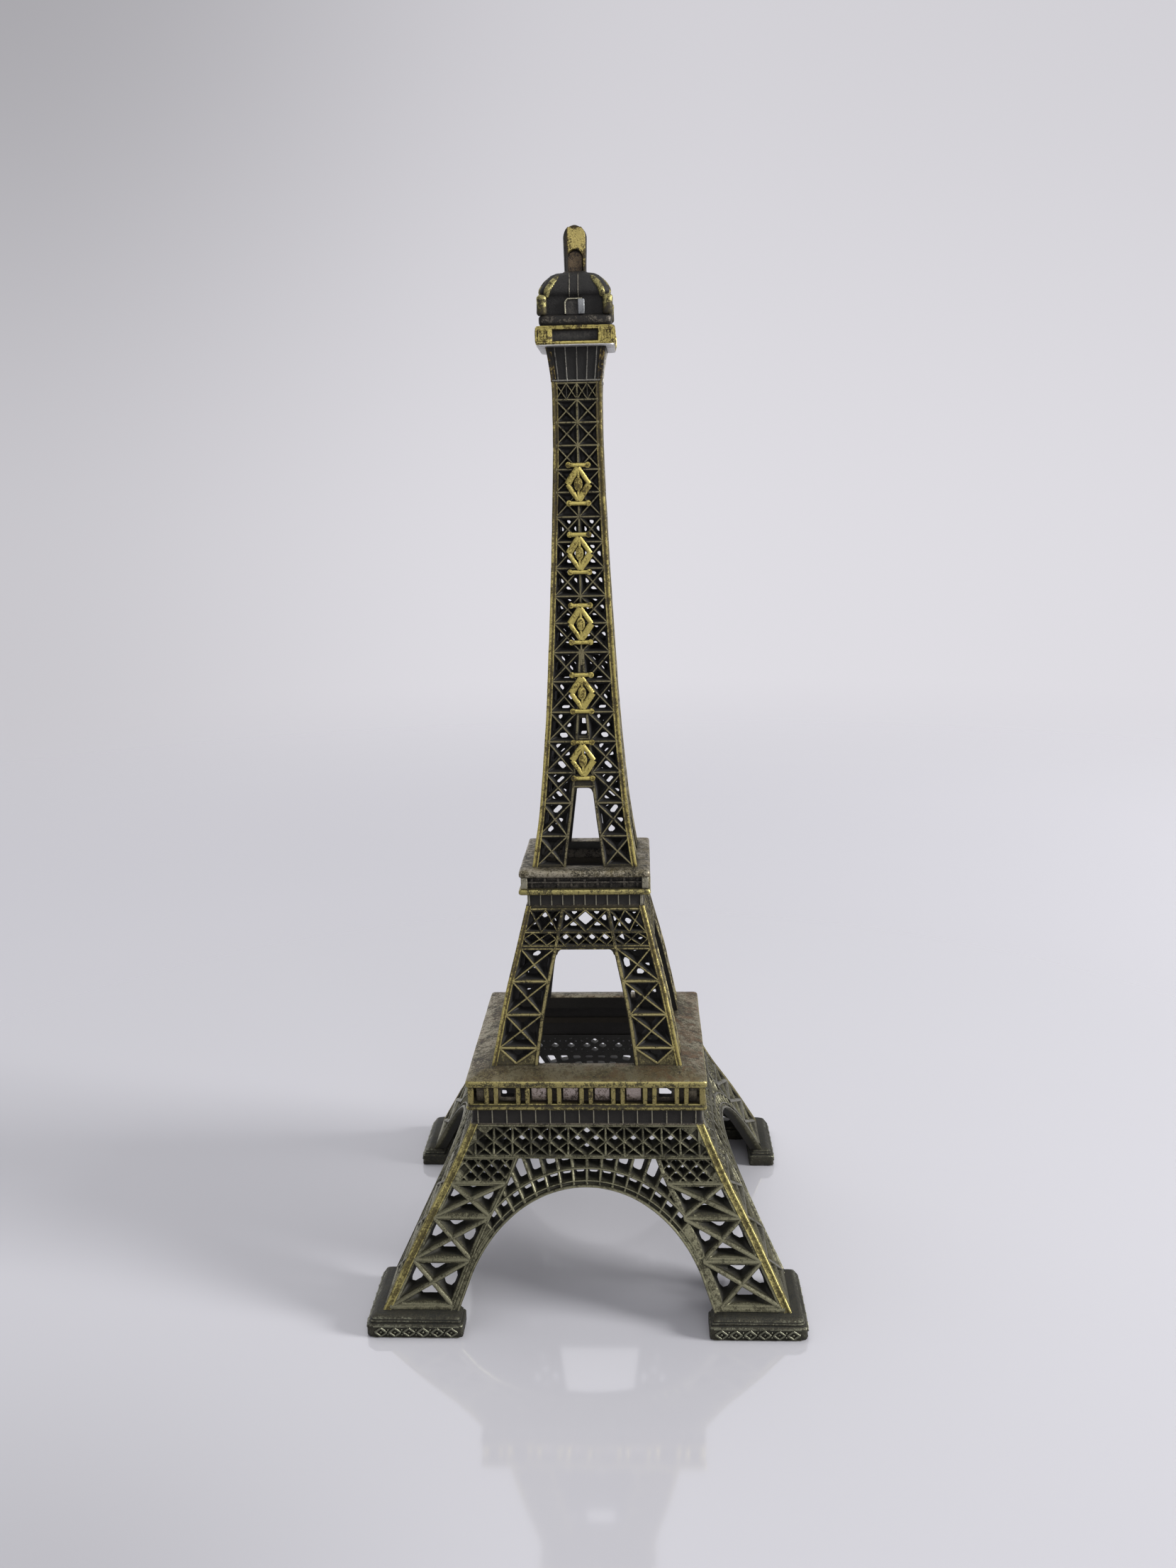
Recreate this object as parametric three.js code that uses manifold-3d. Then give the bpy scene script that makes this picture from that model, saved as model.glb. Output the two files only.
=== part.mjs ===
// Miniature lattice tower souvenir, cast metal, 180 mm tall.
// Millimetres, +Z up, origin at the centre of the footprint on the table.
// The front of the tower faces -Y and its right side +X. Each casting stands
// a small gap above the one below it. The four sides are alike, except that
// the column ornaments and the dome door are on the front only.
import * as THREE from 'three';
import { mergeVertices } from 'three/addons/utils/BufferGeometryUtils.js';
import Module from 'manifold-3d';

const wasm = await Module();
wasm.setup();

// ---------- driving dimensions ----------
// outer and inner are half widths of square plans; z0 and z1 are bottom and top
const HEIGHT = 180;   // table to the top of the finial
const GAP = 0.3;      // clearance between neighbouring castings
const MITRE = 0.22;   // half clearance at the mitred tower corners

const FOOT = {
  outer: 36.7,
  innerEnd: 20.5,     // end of each bar, measured from the tower's centre plane
  barWidth: 5,
  chamfer: 0.5,
  endTaper: 0.6,      // how far a bar end steps back, as a share of the tier inset
  z1: 3.5,
};
// stacked tiers of a foot: inset, bottom, top
const FOOT_TIERS = [[0, 0, 2.3], [0.45, 1.5, 2.9], [0.95, 1.5, FOOT.z1]];

// lattice panels; chord is the width of the solid strip along each tower corner
const BASE = { z0: FOOT.z1 + GAP, z1: 29.9, thick: 2.2, chord: 1.3 };

const FRIEZE1 = { outer: 20.25, inner: 18.2, z0: BASE.z1 + GAP, z1: 32.9 };
const LEDGE1 = { outer: 20.8, inner: 17.8, z0: FRIEZE1.z1 + GAP, z1: 34.2 };
const GALLERY1 = {
  outer: 19.2, inner: 18, cornerInner: 18.4, cornerOuter: 20.4, z0: LEDGE1.z1 + GAP, z1: 37,
};
const POST = { width: 0.9, depth: 0.8, front: 20.5, pitch: 5.48, spacing: 1.6, pairs: 7 };
const RAIL = { height: 0.4, overhang: 0.3 };
const GALLERY1_WINDOW = { at: POST.pitch * 2.5, halfWidth: 1.2, sill: 0.6, head: 0.3, reach: 22 };
const DECK1 = {
  outer: 20.8, inner: 15.3, crown: 16.9, z0: GALLERY1.z1 + GAP, edgeTop: 38.6, z1: 39.6,
};

const MIDDLE = { z0: DECK1.z1 + GAP, z1: 66.4, thick: 1.3, chord: 0.9 };

const FRIEZE2 = { outer: 10.2, inner: 8.7, z0: MIDDLE.z1 + GAP, z1: 68.8 };
const LEDGE2 = { outer: 11.5, inner: 8.5, z0: FRIEZE2.z1 + GAP, z1: 70.1, radius: 0.4 };
const CORNICE2 = {
  outer: 10.5, inner: 8.4, cornerInner: 10, cornerOuter: 11.1, z0: LEDGE2.z1 + GAP, z1: 71.9,
};
const DECK2 = { outer: 11.4, inner: 8.2, z0: CORNICE2.z1 + GAP, z1: 73.5, radius: 0.6 };

const COLUMN = { z0: DECK2.z1 + GAP, z1: 155, thick: 0.9, chord: 1 };

const NECK = { z0: COLUMN.z1 + GAP, z1: 160.4, wall: 1 };
const TOP_GALLERY = { outer: 6.45, z0: NECK.z1 + GAP, z1: 163.8, radius: 0.9 };
const TOP_SLOT = { width: 7.2, height: 1.5, depth: 0.8, lift: 0.05 };
const PLINTH = { outer: 5.9, z0: TOP_GALLERY.z1 + GAP, z1: 165.3, radius: 0.5 };
const DOME = { z0: PLINTH.z1 + GAP, z1: 172.2 };
const BOSS = { radius: 0.85, at: 5.35, z0: DOME.z0, z1: 168.5, capRatio: 0.8 };
const DOOR = { width: 3.2, depth: 0.9, front: 5.95, z0: DOME.z0, z1: 167.9 };
const FINIAL = { width: 3.9, depth: 3.2, archRise: 2, z0: DOME.z1 + GAP, z1: HEIGHT };
const FINIAL_RECESS = { halfWidth: 1.1, depth: 0.35, bottom: 0.3, top: 4.2 };
const PEG = { radius: 0.9, length: 2.6, overlap: 1 };

const ORNAMENT = {
  halfWidth: 2.3,
  halfHeight: 3.5,
  thick: 0.6,
  sideHalf: 0.9,      // half height of the upright sides
  holeReach: 0.62,    // hole tip height as a share of halfHeight
  holeSpread: 0.55,   // hole base half width as a share of halfWidth
  barHalf: 0.55,      // half height of the centre bar
  slopeSpan: 3,       // the tower slope is taken this far above and below
};
const ORNAMENT_CENTRES = [92.1, 103.7, 115.5, 127.3, 138.7];

// outer half width of the tower: z, half width
const PROFILE = [
  [0, 36.2], [3.4, 34.3], [13.5, 29.15], [23.5, 23.5], [30.2, 20.4],
  [30.3, 20.4], [39, 16.75], [46.2, 15.3], [52.3, 14.05], [58.2, 12.5], [66.7, 10.4],
  [73.4, 9.2], [76.4, 8.72], [82.5, 7.8], [88.7, 7.2], [94.9, 6.65], [101, 6.2],
  [107.1, 5.85], [113.1, 5.5], [119.1, 5.2], [125, 4.9], [131, 4.65], [137, 4.4],
  [142.5, 4.2], [148.2, 4.1], [155, 4.1], [157.3, 4.3], [159.5, 4.7], [160.7, 4.95],
];
// upright drum, shoulder over the bosses, low crown: half width, z
const DOME_PROFILE = [
  [0, DOME.z0], [5.2, DOME.z0], [5.2, 168.3], [5.55, 168.8], [5.65, 169.3], [5.4, 169.9],
  [4.95, 170.6], [4.45, 171.2], [3.9, 171.75], [3.2, DOME.z1], [0, DOME.z1],
];

const QUARTER = Math.PI / 2;
const SIDES = ['front', 'right', 'rear', 'left'];
// corner name, sign of x, sign of y
const CORNERS = [
  ['front_left', -1, -1], ['front_right', 1, -1], ['rear_right', 1, 1], ['rear_left', -1, 1],
];

const radians = THREE.MathUtils.degToRad;
const lerp = (a, b, t) => a + (b - a) * t;
const span = (reach) => [-reach, reach];

// straight runs through rows of [z, value]
function interpolate(rows, z) {
  for (let i = 1; i < rows.length; i++) {
    const [z0, value0] = rows[i - 1];
    const [z1, value1] = rows[i];
    if (z <= z1) return lerp(value0, value1, (z - z0) / (z1 - z0));
  }
  return rows[rows.length - 1][1];
}
const towerHalf = (z) => interpolate(PROFILE, z);

// ---------- solids ----------
// shared vertices and no normals or uvs, so that the mesh is closed
function weld(geometry) {
  const bare = geometry.clone();
  bare.deleteAttribute('normal');
  bare.deleteAttribute('uv');
  return mergeVertices(bare, 1e-4);
}

function toSolid(geometry) {
  const welded = weld(geometry);
  return new wasm.Manifold(new wasm.Mesh({
    numProp: 3,
    vertProperties: new Float32Array(welded.attributes.position.array),
    triVerts: new Uint32Array(welded.index.array),
  }));
}

function fromSolid(solid) {
  const mesh = solid.getMesh();
  const positions = new Float32Array(mesh.vertProperties);
  const geometry = new THREE.BufferGeometry();
  geometry.setAttribute('position', new THREE.BufferAttribute(positions, 3));
  geometry.setIndex(new THREE.BufferAttribute(new Uint32Array(mesh.triVerts), 1));
  geometry.computeVertexNormals();
  return geometry;
}

const union = (geometries) => geometries.map(toSolid).reduce((sum, next) => sum.add(next));
const carve = (solid, cuts) => cuts.reduce((rest, cut) => rest.subtract(toSolid(cut)), solid);

function box([x0, x1], [y0, y1], [z0, z1]) {
  const geometry = new THREE.BoxGeometry(x1 - x0, y1 - y0, z1 - z0);
  geometry.translate((x0 + x1) / 2, (y0 + y1) / 2, (z0 + z1) / 2);
  return geometry;
}

// upright cylinder standing on z0
function rod(radius, z0, length, x = 0, y = 0) {
  const geometry = new THREE.CylinderGeometry(radius, radius, length, 16);
  geometry.rotateX(Math.PI / 2);
  geometry.translate(x, y, z0 + length / 2);
  return geometry;
}

function polygon([first, ...others]) {
  const shape = new THREE.Shape();
  shape.moveTo(...first);
  for (const point of others) shape.lineTo(...point);
  shape.closePath();
  return shape;
}

function extrude(outline, depth, holes = []) {
  const shape = polygon(outline);
  shape.holes.push(...holes.map(polygon));
  return new THREE.ExtrudeGeometry(shape, { depth, bevelEnabled: false, steps: 1 });
}

// plan outline (x, y) raised from z0 to z1
function prism(outline, z0, z1, holes) {
  const geometry = extrude(outline, z1 - z0, holes);
  geometry.translate(0, 0, z0);
  return geometry;
}

// front outline (x, z) carried back from y = front
function uprightPlate(outline, depth, front) {
  const geometry = extrude(outline, depth);
  geometry.rotateX(Math.PI / 2);
  geometry.translate(0, front + depth, 0);
  return geometry;
}

function squarePoints(half, radius = 0, cornerSteps = 3) {
  if (radius === 0) return [[-half, -half], [half, -half], [half, half], [-half, half]];
  const points = [];
  for (const [signX, signY, start] of [[1, -1, -90], [1, 1, 0], [-1, 1, 90], [-1, -1, 180]]) {
    for (let i = 0; i <= cornerSteps; i++) {
      const angle = radians(start + 90 * i / cornerSteps);
      points.push([
        signX * (half - radius) + radius * Math.cos(angle),
        signY * (half - radius) + radius * Math.sin(angle),
      ]);
    }
  }
  return points;
}

function squareRing({ outer, inner, z0, z1, radius }) {
  return prism(squarePoints(outer, radius), z0, z1, [squarePoints(inner).reverse()]);
}

// square ring with a block on each corner
function blockedRing(ring) {
  const range = (sign) => [sign * ring.cornerInner, sign * ring.cornerOuter].sort((a, b) => a - b);
  const blocks = CORNERS.map(([, signX, signY]) => (
    box(range(signX), range(signY), [ring.z0, ring.z1])));
  return union([squareRing(ring), ...blocks]);
}

// a solid with a square plan whose half width follows rows of [half width, z]
function squareLathe(profile) {
  // the lathe radius runs to the corners of the square
  const points = profile.map(([half, z]) => new THREE.Vector2(half * Math.SQRT2, z));
  const geometry = new THREE.LatheGeometry(points, 4);
  geometry.rotateX(Math.PI / 2);
  geometry.rotateZ(Math.PI / 4);
  return geometry;
}

// moves every vertex of a plate through a function of its x, y, z
function bend(geometry, move) {
  const position = geometry.attributes.position;
  for (let i = 0; i < position.count; i++) {
    position.setXYZ(i, ...move(position.getX(i), position.getY(i), position.getZ(i)));
  }
  const bent = weld(geometry);
  bent.computeVertexNormals();
  return bent;
}

// ---------- lattice openings, drawn in (x, z) ----------
// where two lines cross, each given by a point and a direction
function meet(pointA, dirA, pointB, dirB) {
  const cross = dirA[0] * dirB[1] - dirA[1] * dirB[0];
  const offset = [pointB[0] - pointA[0], pointB[1] - pointA[1]];
  const t = (offset[0] * dirB[1] - offset[1] * dirB[0]) / cross;
  return [pointA[0] + dirA[0] * t, pointA[1] + dirA[1] * t];
}

// counter-clockwise triangle with its two sides at the centre moved in by half a brace
function triangleOpening(start, end, centre, halfBrace) {
  const points = [start, end, centre];
  const lines = points.map((from, i) => {
    const to = points[(i + 1) % 3];
    const length = Math.hypot(to[0] - from[0], to[1] - from[1]);
    const dir = [(to[0] - from[0]) / length, (to[1] - from[1]) / length];
    const inset = i === 0 ? 0 : halfBrace;
    return { at: [from[0] - dir[1] * inset, from[1] + dir[0] * inset], dir };
  });
  return lines.map((line, i) => {
    const previous = lines[(i + 2) % 3];
    return meet(previous.at, previous.dir, line.at, line.dir);
  });
}

// the four openings left by crossed braces in a four-sided cell
function crossCell([bottomLeft, bottomRight, topRight, topLeft], brace) {
  const rising = [topRight[0] - bottomLeft[0], topRight[1] - bottomLeft[1]];
  const falling = [topLeft[0] - bottomRight[0], topLeft[1] - bottomRight[1]];
  const centre = meet(bottomLeft, rising, bottomRight, falling);
  const edges = [
    [bottomLeft, bottomRight], [bottomRight, topRight], [topRight, topLeft], [topLeft, bottomLeft],
  ];
  return edges.map(([start, end]) => triangleOpening(start, end, centre, brace / 2));
}

// a row of crossed cells between left and right boundaries, which are functions of z;
// brace is the width of the diagonals, post that of the uprights between cells
function crossRow({ z0, z1, left, right, brace, cells = 1, post = 0 }) {
  const corner = (z, k, side) => {
    const halfPost = (k === 0 || k === cells) ? 0 : post / 2;
    return [lerp(left(z), right(z), k / cells) + side * halfPost, z];
  };
  const holes = [];
  for (let i = 0; i < cells; i++) {
    const cell = [corner(z0, i, 1), corner(z0, i + 1, -1), corner(z1, i + 1, -1), corner(z1, i, 1)];
    holes.push(...crossCell(cell, brace));
  }
  return holes;
}

const mirrored = (points) => points.map(([x, z]) => [-x, z]).reverse();
const bothSides = (holes) => [...holes, ...holes.map(mirrored)];
const negated = (boundary) => (z) => -boundary(z);

// ---------- lattice panels ----------
// keeps corners of neighbouring openings off one exact line, which triangulates cleanly
function settle([x, z]) {
  const shift = 0.008;
  return [
    x + shift * Math.sin(x * 12.9898 + z * 78.233),
    z + shift * Math.sin(x * 39.346 + z * 11.135),
  ];
}

// outline and openings are drawn on the outer face; the plate is then bent to
// the tower profile and narrowed inward so that the four corners mitre
function panel(outline, holes, thick) {
  const flat = extrude(outline.map(settle), thick, holes.map((hole) => hole.map(settle)));
  return bend(flat, (x, z, lift) => {
    const depth = thick - lift;
    const half = towerHalf(z);
    return [x * (half - depth) / half, -half + depth, z];
  });
}

// up the left edge, down the right edge, then along the lower opening from right to left
function panelOutline({ z0, z1 }, opening) {
  const endMargin = 0.4;   // profile points closer than this to an end are skipped
  const between = PROFILE.map(([z]) => z).filter((z) => z > z0 + endMargin && z < z1 - endMargin);
  const leftEdge = [z0, ...between, z1].map((z) => [-(towerHalf(z) - MITRE), z]);
  return [...leftEdge, ...mirrored(leftEdge), ...opening].reverse();
}

// inner side of the solid strip along the left corner
const leftChord = ({ chord }) => (z) => -(towerHalf(z) - chord);

// inner edge of a base leg: z, half width
const BASE_LEG_EDGE = [[3, 22.9], [10.7, 19.8], [15.8, 17.2], [22.3, 13.6], [25.2, 12.4]];
// crossed cells of a base leg: bottom, top, inset from the inner edge, brace width
const BASE_LEG_CELLS = [
  [21.8, 24.9, 0, 0.7], [17.2, 21.1, 0.4, 0.9], [11.3, 16.4, 0.4, 0.9], [4.7, 10.5, 0.4, 1],
];
const BASE_TOP_ROW = { z0: 25.5, z1: 29.4, cells: 6, post: 0.8, brace: 0.8 };
const ARCH = { radius: 21.2, centreZ: -0.3, segments: 22 };
// openings around the crown of the arch; pitch and halfAngle are in degrees
const ARCH_OPENING = { inner: 22.3, outer: 24.4, pitch: 8.2, halfAngle: 3.1, eachSide: 3 };

function basePanel() {
  const left = leftChord(BASE);
  const archPoint = (radius, angle) => [
    radius * Math.cos(angle), ARCH.centreZ + radius * Math.sin(angle),
  ];

  const startAngle = Math.asin((BASE.z0 - ARCH.centreZ) / ARCH.radius);
  const arch = [];
  for (let i = 0; i <= ARCH.segments; i++) {
    const angle = lerp(startAngle, Math.PI - startAngle, i / ARCH.segments);
    arch.push(archPoint(ARCH.radius, angle));
  }

  const legHoles = BASE_LEG_CELLS.flatMap(([z0, z1, inset, brace]) => {
    const right = (z) => -interpolate(BASE_LEG_EDGE, z) - inset;
    return crossRow({ z0, z1, left, right, brace });
  });
  const holes = [
    ...crossRow({ ...BASE_TOP_ROW, left, right: negated(left) }),
    ...bothSides(legHoles),
  ];
  const { inner, outer, pitch, halfAngle, eachSide } = ARCH_OPENING;
  for (let k = -eachSide; k <= eachSide; k++) {
    const start = radians(90 + k * pitch - halfAngle);
    const end = radians(90 + k * pitch + halfAngle);
    holes.push([
      archPoint(inner, start), archPoint(inner, end), archPoint(outer, end), archPoint(outer, start),
    ]);
  }
  return panel(panelOutline(BASE, arch), holes, BASE.thick);
}

// half width of the middle window, carried on up to the panel top: z, half width
const MIDDLE_WINDOW = [[39, 8.6], [48.3, 7.35], [54, 6.25], [60, 4.95], [67, 3.6]];
const MIDDLE_WINDOW_TOP = 59.3;
const MIDDLE_STRIP = 0.6;   // solid strip beside the window
// crossed cells: bottom, top, brace width
const MIDDLE_LEG_CELLS = [[42.9, 48, 0.55], [48.6, 53.7, 0.55], [54.3, MIDDLE_WINDOW_TOP, 0.55]];
const MIDDLE_UPPER_CELLS = [[60.3, 62, 0.45], [62.6, 66, 0.5]];
const MIDDLE_CENTRE = { cells: 2, post: 0.5 };
// four-sided opening at the bottom of each leg, inset from the strips at its two levels
const MIDDLE_LOW_OPENING = { z0: 40.7, inset0: 0.6, z1: 42.3, inset1: 2.4 };

function middlePanel() {
  const windowHalf = (z) => interpolate(MIDDLE_WINDOW, z);
  const left = leftChord(MIDDLE);
  const right = (z) => -(windowHalf(z) + MIDDLE_STRIP);

  const topHalf = windowHalf(MIDDLE_WINDOW_TOP);
  const windowSide = [
    ...[MIDDLE.z0, 48.3, 54].map((z) => [windowHalf(z), z]),
    [topHalf + 0.15, MIDDLE_WINDOW_TOP - 0.9],
    [topHalf - 0.7, MIDDLE_WINDOW_TOP],
  ];
  const { z0: lowZ, inset0, z1: highZ, inset1 } = MIDDLE_LOW_OPENING;
  const legHoles = [
    ...[...MIDDLE_LEG_CELLS, ...MIDDLE_UPPER_CELLS].flatMap(([z0, z1, brace]) => (
      crossRow({ z0, z1, left, right, brace }))),
    [
      [left(lowZ) + inset0, lowZ], [right(lowZ) - inset0, lowZ],
      [right(highZ) - inset1, highZ], [left(highZ) + inset1, highZ],
    ],
  ];
  const centreHoles = MIDDLE_UPPER_CELLS.flatMap(([z0, z1, brace]) => (
    crossRow({ z0, z1, left: negated(windowHalf), right: windowHalf, brace, ...MIDDLE_CENTRE })));
  const outline = panelOutline(MIDDLE, [...windowSide, ...mirrored(windowSide)]);
  return panel(outline, [...bothSides(legHoles), ...centreHoles], MIDDLE.thick);
}

// half width between the column legs: z, half width
const COLUMN_WINDOW = [[73, 3.3], [78.85, 2.55], [84.6, 1.75], [87.3, 1.35], [90, 1]];
const COLUMN_WINDOW_TIP = [[1.35, 86.6], [0.7, 87.3]];   // x, z
const COLUMN_STRIP = 0.7;   // solid strip beside the window
const COLUMN_LEG_CELLS = [[74.2, 78.6], [79.1, 84.3], [84.9, 89.6]];   // bottom, top
const COLUMN_LEG_BRACE = 0.45;
// centre heights of the bars between the full-width cells
const COLUMN_LEVELS = [89.9, 100.4, 110.65, 120.15, 129.2, 137.4, 145, 152.35];
const COLUMN_HALF_BAR = 0.25;
const COLUMN_BRACE = 0.6;

function columnPanel() {
  const windowHalf = (z) => interpolate(COLUMN_WINDOW, z);
  const left = leftChord(COLUMN);
  const right = (z) => -(windowHalf(z) + COLUMN_STRIP);

  const windowSide = [
    ...[COLUMN.z0, 78.85, 84.6].map((z) => [windowHalf(z), z]),
    ...COLUMN_WINDOW_TIP,
  ];
  const legHoles = COLUMN_LEG_CELLS.flatMap(([z0, z1]) => (
    crossRow({ z0, z1, left, right, brace: COLUMN_LEG_BRACE })));
  const shaftHoles = COLUMN_LEVELS.slice(1).flatMap((level, i) => crossRow({
    z0: COLUMN_LEVELS[i] + COLUMN_HALF_BAR,
    z1: level - COLUMN_HALF_BAR,
    left,
    right: negated(left),
    brace: COLUMN_BRACE,
  }));
  const outline = panelOutline(COLUMN, [...windowSide, ...mirrored(windowSide)]);
  return panel(outline, [...bothSides(legHoles), ...shaftHoles], COLUMN.thick);
}

// lozenge frame with a centre bar, lying along the slope of the front face
function ornament(centreZ) {
  const { halfWidth, halfHeight, thick, sideHalf, barHalf, slopeSpan } = ORNAMENT;
  const outline = [
    [0, -halfHeight], [halfWidth, -sideHalf], [halfWidth, sideHalf],
    [0, halfHeight], [-halfWidth, sideHalf], [-halfWidth, -sideHalf],
  ];
  const tip = halfHeight * ORNAMENT.holeReach;
  const spread = halfWidth * ORNAMENT.holeSpread;
  const holes = [
    [[0, -tip], [spread, -barHalf], [-spread, -barHalf]],
    [[0, tip], [-spread, barHalf], [spread, barHalf]],
  ];
  const fall = towerHalf(centreZ - slopeSpan) - towerHalf(centreZ + slopeSpan);
  const slope = fall / (2 * slopeSpan);
  const backY = -towerHalf(centreZ) - GAP;
  return bend(extrude(outline, thick, holes), (x, z, lift) => (
    [x, backY + z * slope - lift, centreZ + z]));
}

// ---------- foot ----------
// L-shaped foot on the front left corner, stepped in toward the top
function footPlinth() {
  const plan = (inset) => {
    const outer = FOOT.outer - inset;
    const end = FOOT.innerEnd + inset * FOOT.endTaper;
    const inner = FOOT.outer - FOOT.barWidth;
    return [
      [-outer + FOOT.chamfer, -outer], [-end, -outer], [-end, -inner], [-inner, -inner],
      [-inner, -end], [-outer, -end], [-outer, -outer + FOOT.chamfer],
    ];
  };
  return fromSolid(union(FOOT_TIERS.map(([inset, z0, z1]) => prism(plan(inset), z0, z1))));
}

// ---------- first platform ----------
// ring with corner blocks and two windows through each wall
function galleryWall() {
  const { at, halfWidth, sill, head, reach } = GALLERY1_WINDOW;
  const heights = [GALLERY1.z0 + sill, GALLERY1.z1 - head];
  const cuts = [-at, at].flatMap((centre) => {
    const width = [centre - halfWidth, centre + halfWidth];
    return [box(width, span(reach), heights), box(span(reach), width, heights)];
  });
  return fromSolid(carve(blockedRing(GALLERY1), cuts));
}

// pairs of posts on a low rail, along the front
function balustrade() {
  const { z0, z1 } = GALLERY1;
  const railTop = z0 + RAIL.height;
  const halfPost = POST.width / 2;
  const lastPair = (POST.pairs - 1) / 2;
  const posts = [];
  for (let k = -lastPair; k <= lastPair; k++) {
    for (const side of [-1, 1]) {
      const x = k * POST.pitch + side * POST.spacing / 2;
      posts.push(
        [x - halfPost, railTop], [x - halfPost, z1], [x + halfPost, z1], [x + halfPost, railTop],
      );
    }
  }
  const end = lastPair * POST.pitch + POST.spacing / 2 + halfPost + RAIL.overhang;
  const outline = [[-end, z0], [-end, railTop], ...posts, [end, railTop], [end, z0]].reverse();
  return uprightPlate(outline, POST.depth, -POST.front);
}

// square ring with an upright edge and a sloping top
function firstDeck() {
  const { outer, inner, crown, z0, edgeTop, z1 } = DECK1;
  return weld(squareLathe([
    [inner, z0], [outer, z0], [outer, edgeTop], [crown, z1], [inner, z1], [inner, z0],
  ]));
}

// ---------- head ----------
// hollow collar that follows the flare of the tower profile
function neckCollar() {
  const levels = [NECK.z0, 157.3, 159.2, NECK.z1];
  const outside = levels.map((z) => [towerHalf(z), z]);
  const inside = outside.map(([half, z]) => [half - NECK.wall, z]).reverse();
  return weld(squareLathe([...outside, ...inside, outside[0]]));
}

// rounded block with a shallow slot in each side
function topGallery() {
  const { outer, radius, z0, z1 } = TOP_GALLERY;
  const floor = outer - TOP_SLOT.depth;
  const beyond = outer + 1;
  const middle = (z0 + z1) / 2 + TOP_SLOT.lift;
  const heights = [middle - TOP_SLOT.height / 2, middle + TOP_SLOT.height / 2];
  const width = span(TOP_SLOT.width / 2);
  const cuts = [[-beyond, -floor], [floor, beyond]].flatMap((depth) => (
    [box(width, depth, heights), box(depth, width, heights)]));
  return fromSolid(carve(toSolid(prism(squarePoints(outer, radius), z0, z1)), cuts));
}

// dome with clearance cut for the bosses, the door block and the finial peg
function dome() {
  const bossCut = 6;   // cutter lengths, long enough to pass the surface
  const pegCut = 5;
  const bosses = CORNERS.map(([, signX, signY]) => rod(
    BOSS.radius + GAP, BOSS.z1 + GAP - bossCut, bossCut, signX * BOSS.at, signY * BOSS.at,
  ));
  const door = box(
    span(DOOR.width / 2 + GAP),
    [-7, -DOOR.front + DOOR.depth + GAP],
    [DOME.z0 - 1, DOOR.z1 + GAP],
  );
  const peg = rod(PEG.radius + GAP, FINIAL.z0 - PEG.length - GAP, pegCut);
  return fromSolid(carve(toSolid(squareLathe(DOME_PROFILE)), [...bosses, door, peg]));
}

// round post with a domed cap
function cornerBoss() {
  const { radius, z0, z1 } = BOSS;
  const capRise = radius * BOSS.capRatio;
  const cap = [0, 30, 60].map((degrees) => [
    radius * Math.cos(radians(degrees)), z1 - capRise + capRise * Math.sin(radians(degrees)),
  ]);
  const profile = [[0, z0], [radius, z0], ...cap, [0, z1]];
  const geometry = new THREE.LatheGeometry(profile.map(([x, y]) => new THREE.Vector2(x, y)), 12);
  geometry.rotateX(Math.PI / 2);
  return weld(geometry);
}

function doorBlock() {
  const depth = [-DOOR.front, -DOOR.front + DOOR.depth];
  return box(span(DOOR.width / 2), depth, [DOOR.z0, DOOR.z1]);
}

// round-topped block with a recess in its front and a peg below
function finial() {
  const { depth, archRise, z0, z1 } = FINIAL;
  const half = FINIAL.width / 2;
  const archSteps = 8;
  const outline = [[-half, z0], [half, z0]];
  for (let i = 0; i <= archSteps; i++) {
    const angle = Math.PI * i / archSteps;
    outline.push([half * Math.cos(angle), z1 - archRise + archRise * Math.sin(angle)]);
  }
  const recess = box(
    span(FINIAL_RECESS.halfWidth),
    [-depth, -depth / 2 + FINIAL_RECESS.depth],
    [z0 + FINIAL_RECESS.bottom, z0 + FINIAL_RECESS.top],
  );
  const block = carve(toSolid(uprightPlate(outline, depth, -depth / 2)), [recess]);
  const peg = rod(PEG.radius, z0 - PEG.length, PEG.length + PEG.overlap);
  return fromSolid(block.add(toSolid(peg)));
}

// ---------- materials ----------
const metal = (color, roughness, metalness) => (
  new THREE.MeshStandardMaterial({ color, roughness, metalness }));
const COLOR = { dark: 0x46433a, olive: 0x5d5a45, gold: 0xb09a4e, bronze: 0x7c6c50, pale: 0x9a9188 };
// colour, roughness, metalness
const OLIVE = metal(COLOR.olive, 0.5, 0.8);
const BRONZE = metal(COLOR.bronze, 0.5, 0.8);
const DARK = metal(COLOR.dark, 0.45, 0.85);
const DARK_DULL = metal(COLOR.dark, 0.5, 0.8);
const GOLD_SOFT = metal(COLOR.gold, 0.45, 0.85);
const GOLD = metal(COLOR.gold, 0.4, 0.9);
const GOLD_BRIGHT = metal(COLOR.gold, 0.35, 0.95);
const PALE_DULL = metal(COLOR.pale, 0.5, 0.7);
const PALE = metal(COLOR.pale, 0.4, 0.9);

// ---------- assembly ----------
const tower = new THREE.Group();

function place(name, geometry, material, { turn = 0, at = [0, 0, 0] } = {}) {
  const mesh = new THREE.Mesh(geometry, material);
  mesh.name = name;
  mesh.rotation.z = turn;
  mesh.position.set(...at);
  tower.add(mesh);
}

// four copies of a front (or front left) piece, a quarter turn apart
function placeAround(prefix, names, build, material) {
  names.forEach((name, i) => place(`${prefix}_${name}`, build(), material, { turn: i * QUARTER }));
}

placeAround('foot_plinth', CORNERS.map(([name]) => name), footPlinth, OLIVE);
placeAround('base_arch_panel', SIDES, basePanel, OLIVE);

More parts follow.
